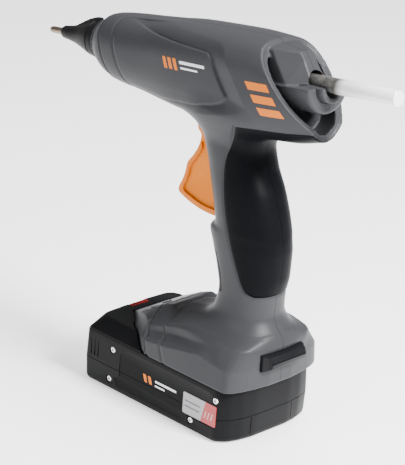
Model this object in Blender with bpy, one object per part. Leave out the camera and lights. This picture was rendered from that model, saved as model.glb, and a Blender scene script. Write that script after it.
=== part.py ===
"""Cordless hot-melt glue gun standing on its slide-on battery pack.

Metres. The nozzle points to -Y and the gun's left side to +X. The origin is
the centre of the face the battery pack rests on.
"""

import math

import bmesh
import bpy
from mathutils import Matrix, Vector

MM = 0.001
GAP = 0.3

# Feed axis: the line of the nozzle, melt chamber and glue stick.
AXIS_PITCH = 6.9
AXIS_HEIGHT = 210.3

# Battery pack.
CELL_RADIUS = 9.1
CELL_LENGTH = 65.0
CELL_GAP = 1.0
CELL_END_ROOM = 13.0
PACK_WIDTH = 77.0
PACK_LENGTH = 10.0 * CELL_RADIUS + 4.0 * CELL_GAP + 2.0 * CELL_END_ROOM
PACK_HEIGHT = 33.5
PACK_WALL = 2.2
PACK_SPLIT = 15.0
PACK_NOSE_TOP = 41.0
RAIL_NECK = 17.0
RAIL_HEAD = 21.0
RAIL_TOP = 40.0

# Housing.
WALL = 2.5
FOOT_RIDGE = 60.0
GRIP_SKIN = 2.0
BARREL_WIDTH = 27.0
HANDLE_WIDTH = 18.5
REAR_SLANT = 36.9
REAR_LIP = 81.5
BUMPER_HALF = 17.0

# Glue stick and melt chamber.
STICK_RADIUS = 4.5
STICK_FRONT = -57.0
STICK_BACK = 133.5
CHAMBER_RADIUS = 9.0
CHAMBER_FRONT = -104.0
CHAMBER_BACK = -45.0
NOZZLE_RADIUS = 2.1
NOZZLE_TIP = -146.0

# Trigger lever.
PIVOT_Y = 8.0
PIVOT_Z = 173.0
PIN_RADIUS = 2.0
TRIGGER_HALF = 8.0
FORK_INSIDE = STICK_RADIUS + 2.1
FORK_OUTSIDE = FORK_INSIDE + 2.2
TRUNNION_RADIUS = 2.2
CARRIAGE_AT = 8.2

# Screws.
SCREW_RADIUS = 1.5
HEAD_RADIUS = 2.8
BOSS_RADIUS = 4.4

MATERIALS = {
    "body_grey": ((0.13, 0.13, 0.14, 1.0), 0.0, 0.5),
    "grip_black": ((0.012, 0.012, 0.014, 1.0), 0.0, 0.65),
    "trigger_orange": ((0.85, 0.30, 0.03, 1.0), 0.0, 0.4),
    "pack_black": ((0.02, 0.02, 0.022, 1.0), 0.0, 0.5),
    "steel": ((0.62, 0.62, 0.63, 1.0), 1.0, 0.3),
    "nozzle_steel": ((0.35, 0.31, 0.27, 1.0), 1.0, 0.35),
    "cast_aluminium": ((0.55, 0.56, 0.58, 1.0), 1.0, 0.5),
    "heater_brown": ((0.28, 0.12, 0.05, 1.0), 0.0, 0.5),
    "silicone": ((0.55, 0.10, 0.06, 1.0), 0.0, 0.6),
    "glue": ((0.88, 0.87, 0.82, 1.0), 0.0, 0.35),
    "board_green": ((0.03, 0.18, 0.07, 1.0), 0.0, 0.45),
    "brass": ((0.70, 0.50, 0.20, 1.0), 1.0, 0.35),
    "release_red": ((0.60, 0.04, 0.03, 1.0), 0.0, 0.4),
    "cell_wrap": ((0.05, 0.22, 0.50, 1.0), 0.0, 0.4),
    "label_grey": ((0.55, 0.55, 0.57, 1.0), 0.0, 0.5),
    "light_lens": ((0.70, 0.80, 0.75, 1.0), 0.0, 0.2),
}


def clear_scene():
    for item in list(bpy.data.objects):
        bpy.data.objects.remove(item, do_unlink=True)


def material(name):
    found = bpy.data.materials.get(name)
    if found:
        return found
    colour, metallic, roughness = MATERIALS[name]
    made = bpy.data.materials.new(name)
    made.use_nodes = True
    shader = made.node_tree.nodes["Principled BSDF"]
    shader.inputs["Base Color"].default_value = colour
    shader.inputs["Metallic"].default_value = metallic
    shader.inputs["Roughness"].default_value = roughness
    return made


# ------------------------------------------------------------- mesh helpers

def object_from(name, mesh):
    made = bpy.data.objects.new(name, mesh)
    bpy.context.scene.collection.objects.link(made)
    return made


def solid(name, points, faces):
    """A closed mesh from points in millimetres, with its faces turned out."""
    shape = bmesh.new()
    verts = [shape.verts.new(Vector(p) * MM) for p in points]
    for face in faces:
        shape.faces.new([verts[i] for i in face])
    bmesh.ops.remove_doubles(shape, verts=shape.verts, dist=1e-7)
    bmesh.ops.recalc_face_normals(shape, faces=shape.faces)
    mesh = bpy.data.meshes.new(name)
    shape.to_mesh(mesh)
    shape.free()
    return object_from(name, mesh)


def loft(name, rings):
    """Skin a list of rings that all have the same number of points."""
    count = len(rings[0])
    points = [p for ring in rings for p in ring]
    faces = [list(range(count)), [len(points) - count + i for i in range(count)]]
    for level in range(len(rings) - 1):
        low = level * count
        for i in range(count):
            j = (i + 1) % count
            faces.append([low + i, low + j, low + count + j, low + count + i])
    return solid(name, points, faces)


def prism(name, outline, low, high, axis="X"):
    """Extrude an outline. Outlines are (y, z) along X, (x, z) along Y, (x, y) along Z."""
    place = {
        "X": lambda a, b, t: (t, a, b),
        "Y": lambda a, b, t: (a, t, b),
        "Z": lambda a, b, t: (a, b, t),
    }[axis]
    return loft(name, [[place(a, b, t) for a, b in outline] for t in (low, high)])


def box(name, low, high):
    (x0, y0, z0), (x1, y1, z1) = low, high
    return prism(name, [(x0, y0), (x1, y0), (x1, y1), (x0, y1)], z0, z1, "Z")


def circle(radius, count=24, centre=(0.0, 0.0), phase=0.0):
    step = 2 * math.pi / count
    return [
        (centre[0] + radius * math.cos(step * i + phase),
         centre[1] + radius * math.sin(step * i + phase))
        for i in range(count)
    ]


def turned(name, profile, axis="Y", count=20):
    """Revolve a closed (along, radius) profile that stays off the axis."""
    place = {
        "X": lambda a, u, v: (a, u, v),
        "Y": lambda a, u, v: (u, a, v),
        "Z": lambda a, u, v: (u, v, a),
    }[axis]
    points = []
    faces = []
    size = len(profile)
    for i in range(count):
        angle = 2 * math.pi * i / count
        for along, radius in profile:
            points.append(place(along, radius * math.cos(angle), radius * math.sin(angle)))
    for i in range(count):
        for k in range(size):
            a, b = i * size, ((i + 1) % count) * size
            m = (k + 1) % size
            faces.append([a + k, a + m, b + m, b + k])
    return solid(name, points, faces)


def bar(name, stations, axis="Y", count=24, centre=(0.0, 0.0)):
    """A solid round bar through (along, radius) stations."""
    place = {
        "X": lambda a, u, v: (a, u, v),
        "Y": lambda a, u, v: (u, a, v),
        "Z": lambda a, u, v: (u, v, a),
    }[axis]
    rings = []
    for along, radius in stations:
        rings.append([place(along, u, v) for u, v in circle(radius, count, centre)])
    return loft(name, rings)


def tube_path(name, path, radius, sides=8):
    """A round bar bent along a path of points."""
    rings = []
    for i, point in enumerate(path):
        before = Vector(path[max(i - 1, 0)])
        after = Vector(path[min(i + 1, len(path) - 1)])
        along = (after - before).normalized()
        side = along.cross(Vector((0.31, 0.17, 0.93))).normalized()
        up = side.cross(along)
        rings.append([
            tuple(Vector(point) + radius * (side * math.cos(t) + up * math.sin(t)))
            for t in (2 * math.pi * k / sides for k in range(sides))
        ])
    return loft(name, rings)


def boolean(target, cutters, kind):
    for cutter in cutters:
        change = target.modifiers.new(kind.lower(), "BOOLEAN")
        change.operation = kind
        change.solver = "EXACT"
        change.object = cutter
        apply_modifiers(target)
    return target


def cut(target, *cutters):
    boolean(target, cutters, "DIFFERENCE")
    discard(cutters)
    return target


def join(target, *others):
    boolean(target, others, "UNION")
    discard(others)
    return target


def keep_inside(target, other):
    boolean(target, [other], "INTERSECT")
    discard([other])
    return target


def discard(items):
    for item in items:
        bpy.data.objects.remove(item, do_unlink=True)


def apply_modifiers(target):
    graph = bpy.context.evaluated_depsgraph_get()
    graph.update()
    mesh = bpy.data.meshes.new_from_object(target.evaluated_get(graph))
    target.modifiers.clear()
    target.data = mesh
    clean(target)


def clean(target, distance=5e-6):
    """Merge the slivers that a cut leaves."""
    shape = bmesh.new()
    shape.from_mesh(target.data)
    bmesh.ops.remove_doubles(shape, verts=shape.verts, dist=distance)
    bmesh.ops.dissolve_degenerate(shape, edges=shape.edges, dist=distance)
    shape.to_mesh(target.data)
    shape.free()


def copy_of(source, name):
    made = source.copy()
    made.data = source.data.copy()
    made.name = name
    bpy.context.scene.collection.objects.link(made)
    return made


def place(target, matrix):
    target.data.transform(matrix)
    return target


def bevel(target, width, segments=1, angle=35.0):
    change = target.modifiers.new("bevel", "BEVEL")
    change.width = width * MM
    change.segments = segments
    change.limit_method = "ANGLE"
    change.angle_limit = math.radians(angle)
    change.harden_normals = False
    apply_modifiers(target)
    return target


def finish(target, name, slot, round_off=35.0):
    clean(target, 1.5e-5)
    target.name = name
    target.data.name = name
    target.data.materials.clear()
    target.data.materials.append(material(slot))
    target.data.shade_smooth()
    target.data.set_sharp_from_angle(angle=math.radians(round_off))
    return target


# ------------------------------------------------------------ feed-axis frame

def axis_matrix():
    turn = Matrix.Rotation(math.radians(AXIS_PITCH), 4, "X")
    return Matrix.Translation((0.0, 0.0, AXIS_HEIGHT * MM)) @ turn


def on_axis(target):
    """Move a shape modelled about a level Y axis onto the pitched feed axis."""
    return place(target, axis_matrix())


def axis_point(along, across=0.0, up=0.0):
    point = axis_matrix() @ (Vector((across, along, up)) * MM)
    return tuple(point / MM)


# ------------------------------------------------------------- outer lofts

def rounded(width, top, bottom, power, count=20):
    """A squared-off oval with its own height above and below the centre."""
    ring = []
    for i in range(count):
        angle = 2 * math.pi * (i + 0.5) / count
        c, s = math.cos(angle), math.sin(angle)
        x = width * math.copysign(abs(c) ** (2 / power), c)
        z = (top if s > 0 else bottom) * math.copysign(abs(s) ** (2 / power), s)
        ring.append((x, z))
    return ring


def barrel_loft(inset, front, back):
    """Stations: along, share of full width, top, bottom, squareness."""
    stations = [
        (-97.5, 0.46, 12.4, 12.4, 2.0),
        (-87.0, 0.69, 17.6, 19.0, 2.1),
        (-84.0, 0.72, 18.2, 20.2, 2.2),
        (-50.0, 0.86, 20.2, 24.6, 2.6),
        (-15.0, 0.97, 21.8, 29.4, 3.0),
        (20.0, 1.0, 22.0, 34.6, 3.1),
        (45.0, 0.94, 21.2, 36.0, 3.0),
        (64.0, 0.90, 19.0, 35.6, 2.9),
        (80.0, 0.82, 17.0, 33.0, 2.7),
        (104.0, 0.74, 15.0, 29.0, 2.6),
    ]
    used = [s for s in stations if front < s[0] < back]
    used = [station_at(stations, front)] + used + [station_at(stations, back)]
    rings = []
    for along, share, top, bottom, power in used:
        flat = rounded(BARREL_WIDTH * share - inset, top - inset, bottom - inset, power)
        rings.append([(x, along, z) for x, z in flat])
    return on_axis(loft("barrel", rings))


def station_at(stations, along):
    """Straight-line station between its neighbours."""
    if along <= stations[0][0]:
        return (along,) + stations[0][1:]
    for a, b in zip(stations, stations[1:]):
        if along <= b[0]:
            t = (along - a[0]) / (b[0] - a[0])
            return (along,) + tuple(a[k] + t * (b[k] - a[k]) for k in range(1, len(a)))
    return (along,) + stations[-1][1:]


def handle_loft(inset, low, high):
    """Stations: height, front, back, share of full width."""
    stations = [
        (56.0, 2.0, 64.0, 1.55),
        (66.0, 14.0, 59.5, 1.16),
        (74.0, 18.0, 57.0, 1.02),
        (83.0, 19.3, 57.6, 0.97),
        (96.0, 16.0, 60.2, 0.99),
        (110.0, 11.0, 60.6, 1.03),
        (117.5, 8.4, 59.6, 1.04),
        (122.0, 12.6, 58.4, 1.05),
        (130.0, 11.4, 56.4, 1.05),
        (144.0, 7.6, 52.0, 1.03),
        (158.0, 3.6, 46.8, 1.0),
        (170.0, -0.8, 45.6, 1.0),
        (182.0, -6.0, 52.0, 1.12),
        (192.0, -8.0, 60.0, 1.22),
    ]
    used = [s for s in stations if low < s[0] < high]
    used = [station_at(stations, low)] + used + [station_at(stations, high)]
    rings = []
    for height, front, back, share in used:
        middle, half = (front + back) / 2, (back - front) / 2
        flat = rounded(HANDLE_WIDTH * share - inset, half - inset, half - inset, 2.35)
        rings.append([(x, middle + y, height) for x, y in flat])
    return loft("handle", rings)


def plan_ring(front, side_front, back, half, nose_half, height, inset=0.0):
    """Foot outline seen from above: a wide back and a front with cut corners."""
    h, n = half - inset, nose_half - inset
    f, s, b = front + inset, side_front + inset * 0.4, back - inset
    left = [
        (n * 0.5, f),
        (n, f + 2.2),
        (n + (h - n) * 0.52, f + (s - f) * 0.42),
        (h - 1.5, s - 3.0),
        (h, s + 5.0),
        (h, b - 14.0),
        (h - 2.0, b - 6.5),
        (h - 7.0, b - 2.2),
        (h - 16.0, b - 0.4),
        (8.0, b),
    ]
    right = [(-x, y) for x, y in reversed(left)]
    return [(x, y, height) for x, y in left + right]


def foot_loft(inset, floor):
    """The flared foot: a waist line at the pack and a ridge below the handle."""
    ridge = FOOT_RIDGE
    rings = [
        plan_ring(-48.0, -9.0, 58.5, 38.5, 12.0, floor, inset),
        plan_ring(-48.0, -10.0, 61.0, 37.6, 12.0, 43.0 - inset * 0.4, inset),
        plan_ring(-40.0, -10.5, 63.5, 35.5, 13.0, 47.5 - inset * 0.6, inset),
        plan_ring(-24.0, -10.0, 65.6, 28.0, 14.0, ridge - 5.0 - inset, inset),
        plan_ring(-14.0, -4.0, 64.8, 25.5, 15.0, ridge + 0.5 - inset, inset),
        plan_ring(-6.0, 0.0, 62.0, 23.0, 14.0, ridge + 2.4 - inset, inset),
    ]
    return loft("foot", rings)


def outer_body():
    body = barrel_loft(0.0, -97.5, 104.0)
    handle = handle_loft(0.0, 57.0, 190.0)
    foot = foot_loft(0.0, PACK_HEIGHT + GAP)
    return join(body, handle, foot)


def rear_plane(up, depth=0.0):
    """Where the slanted back face stands at a height above the feed axis."""
    return 63.2 - depth - up * math.tan(math.radians(REAR_SLANT))


def rear_cutter(depth, inset):
    """Everything behind the slanted back face, moved forward by depth."""
    lip = REAR_LIP - depth
    bend = (63.2 - depth - lip) / math.tan(math.radians(REAR_SLANT))
    outline = [(rear_plane(60.0, depth), 60.0), (lip, bend), (lip, -60.0), (170.0, -60.0), (170.0, 60.0)]
    half = BARREL_WIDTH * 1.6
    block = on_axis(prism("back", outline, -half, half))
    if inset > 0.0:
        keep_inside(block, barrel_loft(inset, -20.0, 130.0))
    return block


def rear_tower():
    """The ridge in the recess that the stick's hole comes out of."""
    rings = []
    for up, base, half in ((18.0, 1.0, 4.0), (9.0, 2.0, 5.0), (-6.0, 4.0, 7.0), (-16.0, 7.0, 7.0)):
        foot = rear_plane(up, base)
        crest = min(rear_plane(up) + 15.0, 79.0)
        rings.append([(x, y, up) for x, y in (
            (-half - 6.0, 30.0), (-half - 6.0, foot), (-half, crest),
            (half, crest), (half + 6.0, foot), (half + 6.0, 30.0))])
    return on_axis(loft("tower", rings))


# ------------------------------------------------------------------ housing

SCREW_PLACES = {
    "front": (-36.0, -19.0),
    "top": (36.0, 14.5),
    "rear": (58.0, -27.0),
}


def screw_points():
    """Height and depth of each housing screw, with where its head sits."""
    named = {key: axis_point(*(a, 0.0, u))[1:] for key, (a, u) in SCREW_PLACES.items()}
    named["handle"] = (36.0, 122.0)
    named["heel"] = (40.0, 78.0)
    named["foot"] = (50.0, 49.0)
    seats = {"front": 15.5, "top": 17.5, "rear": 15.5, "handle": 12.5, "heel": 12.0, "foot": 24.0}
    return {key: (named[key][0], named[key][1], seats[key]) for key in seats}


def across(name, y, z, stations, count=16):
    """A round bar along X at a given depth and height."""
    return bar(name, stations, "X", count, (y, z))


def cavity():
    """The hollow inside both housing halves, less its bosses and seats."""
    hollow = barrel_loft(WALL, -92.0, 104.0)
    cut(hollow, rear_cutter(10.0, 0.0))
    foot = foot_loft(WALL, 41.8)
    join(hollow, handle_loft(WALL + GRIP_SKIN, 50.0, 196.0), foot)
    for y, z, _ in screw_points().values():
        cut(hollow, across("boss", y, z, [(-60, BOSS_RADIUS), (60, BOSS_RADIUS)], 10))
    cut(hollow, box("backing", (-BUMPER_HALF - 3.0, 56.8, 38.0), (BUMPER_HALF + 3.0, 80, 60.0)))
    side = FORK_OUTSIDE + 0.4
    for low, high in ((side, 40.0), (-40.0, -side)):
        cut(hollow, across("stub", PIVOT_Y, PIVOT_Z, [(low, 4.6), (high, 4.6)], 10))
    ribs = [
        (-86.0, -83.0, 12.4),
        (-52.0, -49.5, 12.4),
        (30.0, 32.5, 7.0),
    ]
    for back, front, radius in ribs:
        disc = box("rib", (-50, back, -11.5), (50, front, 50))
        cut(disc, bar("hole", [(back - 1, radius), (front + 1, radius)], "Y", 14))
        cut(hollow, on_axis(disc))
    return hollow


def housing():
    body = outer_body()
    cut(body, rear_cutter(0.0, 0.0))
    recess = rear_cutter(5.5, 4.2)
    cut(body, recess)
    boss = on_axis(bar("seat", [(38.0, 17.0), (82.5, 17.0), (84.0, 15.8)], "Y", 20))
    over = [(rear_plane(-1.0), -1.0), (120.0, -1.0), (120.0, 40.0), (rear_plane(40.0), 40.0)]
    cut(boss, on_axis(prism("over", over, -30.0, 30.0)))
    join(body, rear_tower(), boss)
    cut(body, grip_zone(0.0))
    cut(body, insert_zone(0.0))
    cut(body, cavity())
    cut_interfaces(body)
    return body


def cut_interfaces(body):
    """Openings through the walls for the parts that pass through them."""
    cut(body, on_axis(bar("mouth", [(-110.0, 10.4), (-85.0, 10.4)], "Y", 20)))
    cut(body, on_axis(bar("throat", [(34.0, 12.7), (92.0, 12.7)], "Y", 20)))
    slot = [(-30, 120.6), (-30, 186.0), (20, 186.0), (24, 150.0), (24, 120.6)]
    cut(body, prism("slot", slot, -FORK_OUTSIDE - 0.4, FORK_OUTSIDE + 0.4))
    cut(body, box("neck", (-RAIL_NECK - 0.4, -80, 30), (RAIL_NECK + 0.4, 44.4, 37.0)))
    cut(body, box("head", (-RAIL_HEAD - 0.4, -80, 36.2), (RAIL_HEAD + 0.4, 44.4, RAIL_TOP + 0.3)))
    cut(body, box("plug", (-15.3, 24.7, 39.0), (15.3, 43.3, 52.0)))
    cut(body, panel_block(0.3))
    cut(body, box("bumper", (-BUMPER_HALF - GAP, 60.2, 44.2), (BUMPER_HALF + GAP, 80, 54.8)))
    cut(body, across("pin", PIVOT_Y, PIVOT_Z, [(-13.3, 2.06), (13.3, 2.06)], 16))
    for y, z, seat in screw_points().values():
        cut(body, across("shank", y, z, [(-60, SCREW_RADIUS + 0.25), (11.0, SCREW_RADIUS + 0.25)], 10))
        cut(body, across("head", y, z, [(-60, HEAD_RADIUS + 0.3), (-seat, HEAD_RADIUS + 0.3)], 10))


def panel_block(grow):
    """The inlay in the sloping top of the foot, in front of the handle."""
    block = box("panel", (-15 - grow, -8.5 - grow, -1.2 - grow), (15 + grow, 8.5 + grow, 6.0))
    if grow == 0.0:
        discard([block])
        block = box("panel", (-15, -8.5, -1.2), (15, 8.5, 0.4))
    turn = Matrix.Rotation(math.radians(27.0), 4, "X")
    return place(block, Matrix.Translation(Vector((0.0, -22.5, 54.6)) * MM) @ turn)


def grip_outline():
    """Side outline of the soft grip, front edge first."""
    return [
        (36.5, 187.0), (29.0, 172.0), (26.0, 160.0), (27.0, 146.0), (31.0, 128.0),
        (38.0, 108.0), (46.0, 90.0), (52.0, 85.5), (90.0, 85.5), (90.0, 160.0), (104.0, 195.0),
    ]


def grip_zone(shrink):
    """The space the soft grip fills: outside the core, behind its outline."""
    outline = grip_outline()
    if shrink > 0.0:
        outline = [(y + shrink, z) for y, z in outline[:7]] + [
            (52.0 + shrink, 85.5 + shrink), (89.0, 85.5 + shrink), (89.0, 160.0), (104.0, 195.0 - shrink)]
    zone = prism("zone", outline, -40.0, 40.0)
    core = handle_loft(GRIP_SKIN - shrink, 50.0, 196.0)
    cut(zone, core)
    limit = barrel_loft(0.6 - shrink, -20.0, 104.0)
    cut(zone, limit)
    return zone


def insert_zone(shrink):
    """Space for the slim finger insert down the front of the handle."""
    low, high = 82.0 + shrink, 108.0 - shrink
    zone = box("zone", (-5.0 + shrink, -5, low), (5.0 - shrink, 40, high))
    cut(zone, handle_loft(1.8 - shrink, 50.0, 196.0))
    return zone


def half_of(body, name, sign):
    low, high = (-120.0, GAP / 2) if sign > 0 else (-GAP / 2, 120.0)
    return cut(copy_of(body, name), box("half", (low, -210, -60), (high, 190, 310)))


def make_housing():
    body = housing()
    for name, sign in (("housing_left", 1), ("housing_right", -1)):
        finish(half_of(body, name, sign), name, "body_grey", 30.0)
    discard([body])


def make_grip():
    for name, sign in (("grip_left", 1), ("grip_right", -1)):
        body = handle_loft(0.0, 57.0, 190.0)
        half = half_of(body, name, sign)
        keep_inside(half, grip_zone(0.3))
        finish(half, name, "grip_black", 40.0)
        discard([body])
    insert = handle_loft(-0.2, 57.0, 190.0)
    keep_inside(insert, insert_zone(0.3))
    finish(insert, "handle_insert", "grip_black", 40.0)


# ------------------------------------------------------------- heated front

def make_nozzle():
    profile = [
        (NOZZLE_TIP, 0.9), (NOZZLE_TIP, NOZZLE_RADIUS * 0.8), (NOZZLE_TIP + 2.0, NOZZLE_RADIUS),
        (-124.0, NOZZLE_RADIUS), (-122.0, 4.4), (-113.0, 6.0), (-105.0, 6.0),
        (-104.6, 4.2), (-93.0, 4.2), (-93.0, 1.6), (-120.0, 1.6),
    ]
    finish(on_axis(turned("nozzle", profile, "Y", 20)), "nozzle", "nozzle_steel")


def make_shroud():
    profile = [
        (-134.0, 2.7), (-134.0, 3.5), (-120.0, 6.0), (-108.0, 10.2), (-98.6, 12.0),
        (-97.9, 12.0), (-97.9, 10.1), (-91.0, 10.1), (-91.0, 8.7), (-106.0, 8.7), (-114.0, 6.5),
        (-124.0, 4.9),
    ]
    shroud = turned("shroud", profile, "Y", 20)
    fin = prism("fin", [(-122.0, 5.0), (-99.0, 9.5), (-99.0, 13.0), (-102.5, 13.0)], -1.1, 1.1)
    join(shroud, fin)
    finish(on_axis(shroud), "nozzle_shroud", "grip_black")


def make_chamber():
    profile = [
        (CHAMBER_FRONT, 4.4), (CHAMBER_FRONT, 7.4), (-88.0, 7.4), (-88.0, CHAMBER_RADIUS),
        (CHAMBER_BACK, CHAMBER_RADIUS), (CHAMBER_BACK, STICK_RADIUS + 0.4), (-70.0, STICK_RADIUS + 0.4),
        (-82.0, 3.0), (-92.6, 3.0), (-92.6, 4.4),
    ]
    chamber = turned("chamber", profile, "Y", 20)
    cut(chamber, box("flat", (-20, -80, -40), (20, -56, 1.6 - CHAMBER_RADIUS)))
    cut(chamber, box("flat", (-3.0, -66, CHAMBER_RADIUS - 1.2), (3.0, -58, 20)))
    finish(on_axis(chamber), "melt_chamber", "cast_aluminium")


def make_heater():
    low = 1.3 - CHAMBER_RADIUS
    element = box("element", (-5.5, -79, low - 2.2), (5.5, -57, low))
    finish(on_axis(element), "heating_element", "heater_brown")
    wide = CHAMBER_RADIUS + 0.6
    clamp = box("clamp", (-wide - 1.4, -72, low - 3.7), (wide + 1.4, -64, 2.0))
    cut(clamp, box("inside", (-wide, -80, low - 2.5), (wide, -50, 10.0)))
    finish(on_axis(clamp), "heater_clamp", "steel")
    bead = bar("bead", [(-65.5, 1.0), (-64.8, 1.4), (-59.2, 1.4), (-58.5, 1.0)], "Y", 12,
               (0.0, CHAMBER_RADIUS + 0.5))
    finish(on_axis(bead), "temperature_sensor", "glue")
    sleeve = turned("sleeve", [
        (-44.6, STICK_RADIUS + 0.5), (-44.6, STICK_RADIUS + 3.7), (-38.0, STICK_RADIUS + 3.7),
        (-37.4, STICK_RADIUS + 2.5), (-24.0, STICK_RADIUS + 1.9), (-24.0, STICK_RADIUS + 0.4),
    ], "Y", 20)
    finish(on_axis(sleeve), "inlet_sleeve", "silicone")
    clip = turned("clip", [
        (-42.6, STICK_RADIUS + 4.0), (-42.6, STICK_RADIUS + 4.8),
        (-40.4, STICK_RADIUS + 4.8), (-40.4, STICK_RADIUS + 4.0),
    ], "Y", 20)
    finish(on_axis(clip), "sleeve_clip", "steel")
    inside = CHAMBER_RADIUS + GAP
    for name, back in (("front_support_ring", -86.0), ("rear_support_ring", -52.0)):
        ring = turned("ring", [
            (back + 0.2, inside), (back + 0.2, 12.1), (back + 2.3, 12.1), (back + 2.3, inside),
        ], "Y", 20)
        finish(on_axis(ring), name, "silicone")


# ------------------------------------------------------------ feed mechanism

def make_carriage():
    half = STICK_RADIUS + 1.5
    block = prism("block", [
        (-half, -half - 0.2), (half, -half - 0.2), (half, half - 2.0), (4.0, half + 2.4),
        (-4.0, half + 2.4), (-half, half - 2.0),
    ], CARRIAGE_AT - 9.0, CARRIAGE_AT + 9.0, "Y")
    ears = bar("ears", [
        (-FORK_OUTSIDE - 0.4, TRUNNION_RADIUS), (FORK_OUTSIDE + 0.4, TRUNNION_RADIUS),
    ], "X", 16, (CARRIAGE_AT, 0.0))
    join(block, ears)
    cut(block, bar("hole", [(-20, STICK_RADIUS + 0.3), (40, STICK_RADIUS + 0.3)], "Y", 20))
    cut(block, box("window", (-2.6, CARRIAGE_AT - 6, 3.0), (2.6, CARRIAGE_AT + 6, 20)))
    finish(on_axis(block), "feed_carriage", "pack_black")
    tip = CARRIAGE_AT
    low = STICK_RADIUS + GAP
    jaw = prism("jaw", [
        (tip - 3.2, low + 1.4), (tip - 3.0, low), (tip + 0.6, low), (tip + 4.2, low + 1.2),
        (tip + 4.6, low + 4.6), (tip + 1.0, low + 7.4), (tip - 1.6, low + 6.8),
    ], -2.3, 2.3)
    pivot = (tip + 1.6, low + 2.4)
    cut(jaw, bar("hole", [(-5, 1.06), (5, 1.06)], "X", 12, pivot))
    finish(on_axis(jaw), "grip_jaw", "steel")
    pin = bar("pin", [(-4.6, 1.0), (4.6, 1.0)], "X", 12, pivot)
    hole = on_axis(bar("hole", [(-4.9, 1.03), (4.9, 1.03)], "X", 12, pivot))
    cut(bpy.data.objects["feed_carriage"], hole)
    finish(on_axis(pin), "jaw_pin", "steel")


def trigger_outline():
    """Side outline of the finger lever, front edge from the top down."""
    return [
        (-7.5, 178.0), (-6.8, 171.0), (-3.8, 167.0), (-5.4, 159.8), (-9.4, 153.0), (-13.4, 147.6),
        (-14.6, 142.0), (-16.6, 136.0), (-19.0, 131.0), (-18.8, 127.6), (-13.0, 125.0), (-6.0, 123.0),
        (1.0, 121.9), (8.0, 121.6), (16.0, 122.2), (18.0, 124.0), (16.4, 150.0), (14.4, 172.0),
        (10.0, 178.4),
    ]


def make_trigger():
    lever = prism("lever", trigger_outline(), -TRIGGER_HALF, TRIGGER_HALF)
    bevel(lever, 1.2, 1, 50.0)
    side = [
        (-3.4, 164.0), (-2.6, 159.0), (-7.4, 151.0), (-11.0, 145.6), (-13.6, 136.0), (-15.8, 130.6),
        (-10.0, 127.6), (0.0, 125.2), (12.0, 125.0), (12.0, 162.0), (4.0, 164.0),
    ]
    for low, high in ((TRIGGER_HALF - 1.6, 20), (-20, -TRIGGER_HALF + 1.6)):
        cut(lever, prism("side", side, low, high))
    hub = across("hub", PIVOT_Y, PIVOT_Z, [(-FORK_OUTSIDE, 5.2), (FORK_OUTSIDE, 5.2)], 20)
    join(lever, hub)
    arm = [
        (PIVOT_Y - 4.6, PIVOT_Z), (PIVOT_Y + 4.6, PIVOT_Z), (PIVOT_Y + 5.6, PIVOT_Z + 26.0),
        (PIVOT_Y + 5.4, PIVOT_Z + 44.0), (PIVOT_Y - 5.6, PIVOT_Z + 44.0), (PIVOT_Y - 5.8, PIVOT_Z + 26.0),
    ]
    fork = prism("fork", arm, -FORK_OUTSIDE, FORK_OUTSIDE)
    cut(fork, box("inside", (-FORK_INSIDE, -30, PIVOT_Z + 12.0), (FORK_INSIDE, 60, PIVOT_Z + 60.0)))
    _, y, z = axis_point(CARRIAGE_AT)
    reach = math.atan2(y - PIVOT_Y, z - PIVOT_Z)
    far = math.hypot(y - PIVOT_Y, z - PIVOT_Z)
    slot = box("slot", (-20, -TRUNNION_RADIUS - 0.25, far - 4.0), (20, TRUNNION_RADIUS + 0.25, far + 20.0))
    turn = Matrix.Rotation(-reach, 4, "X")
    place(slot, Matrix.Translation(Vector((0.0, PIVOT_Y, PIVOT_Z)) * MM) @ turn)
    cut(fork, slot)
    join(lever, fork)
    cut(lever, across("hole", PIVOT_Y, PIVOT_Z, [(-20, PIN_RADIUS + 0.05), (20, PIN_RADIUS + 0.05)], 20))
    cut(lever, spring_pocket())
    finish(lever, "trigger", "trigger_orange", 30.0)
    pin = across("pin", PIVOT_Y, PIVOT_Z, [(-13.0, PIN_RADIUS), (13.0, PIN_RADIUS)], 20)
    finish(pin, "trigger_pin", "steel")


def spring_pocket():
    """Room round the middle of the pin for the return spring."""
    room = across("room", PIVOT_Y, PIVOT_Z, [(-3.6, 4.6), (3.6, 4.6)], 20)
    well = box("well", (-3.6, PIVOT_Y, PIVOT_Z - 13.0), (3.6, 40.0, PIVOT_Z + 4.6))
    return join(room, well)


def make_return_spring():
    """A wound spring on the trigger's pin, its tail against the handle's inside."""
    path = []
    radius, wire, turns = 3.3, 0.45, 3
    for i in range(turns * 10 + 1):
        angle = -math.pi * 0.5 + 2 * math.pi * i / 10
        path.append((-2.6 + 5.0 * i / (turns * 10), PIVOT_Y + radius * math.cos(angle),
                     PIVOT_Z + radius * math.sin(angle)))
    path = [(-2.6, PIVOT_Y + 9.0, PIVOT_Z - 3.3)] + path + [(2.5, PIVOT_Y + 12.0, PIVOT_Z - 3.3)]
    finish(tube_path("spring", path, wire, 5), "return_spring", "steel", 60.0)


def make_stick():
    stick = bar("stick", [
        (STICK_FRONT, STICK_RADIUS - 0.5), (STICK_FRONT + 0.5, STICK_RADIUS),
        (STICK_BACK - 0.5, STICK_RADIUS), (STICK_BACK, STICK_RADIUS - 0.5),
    ], "Y", 20)
    finish(on_axis(stick), "glue_stick", "glue")


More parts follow.
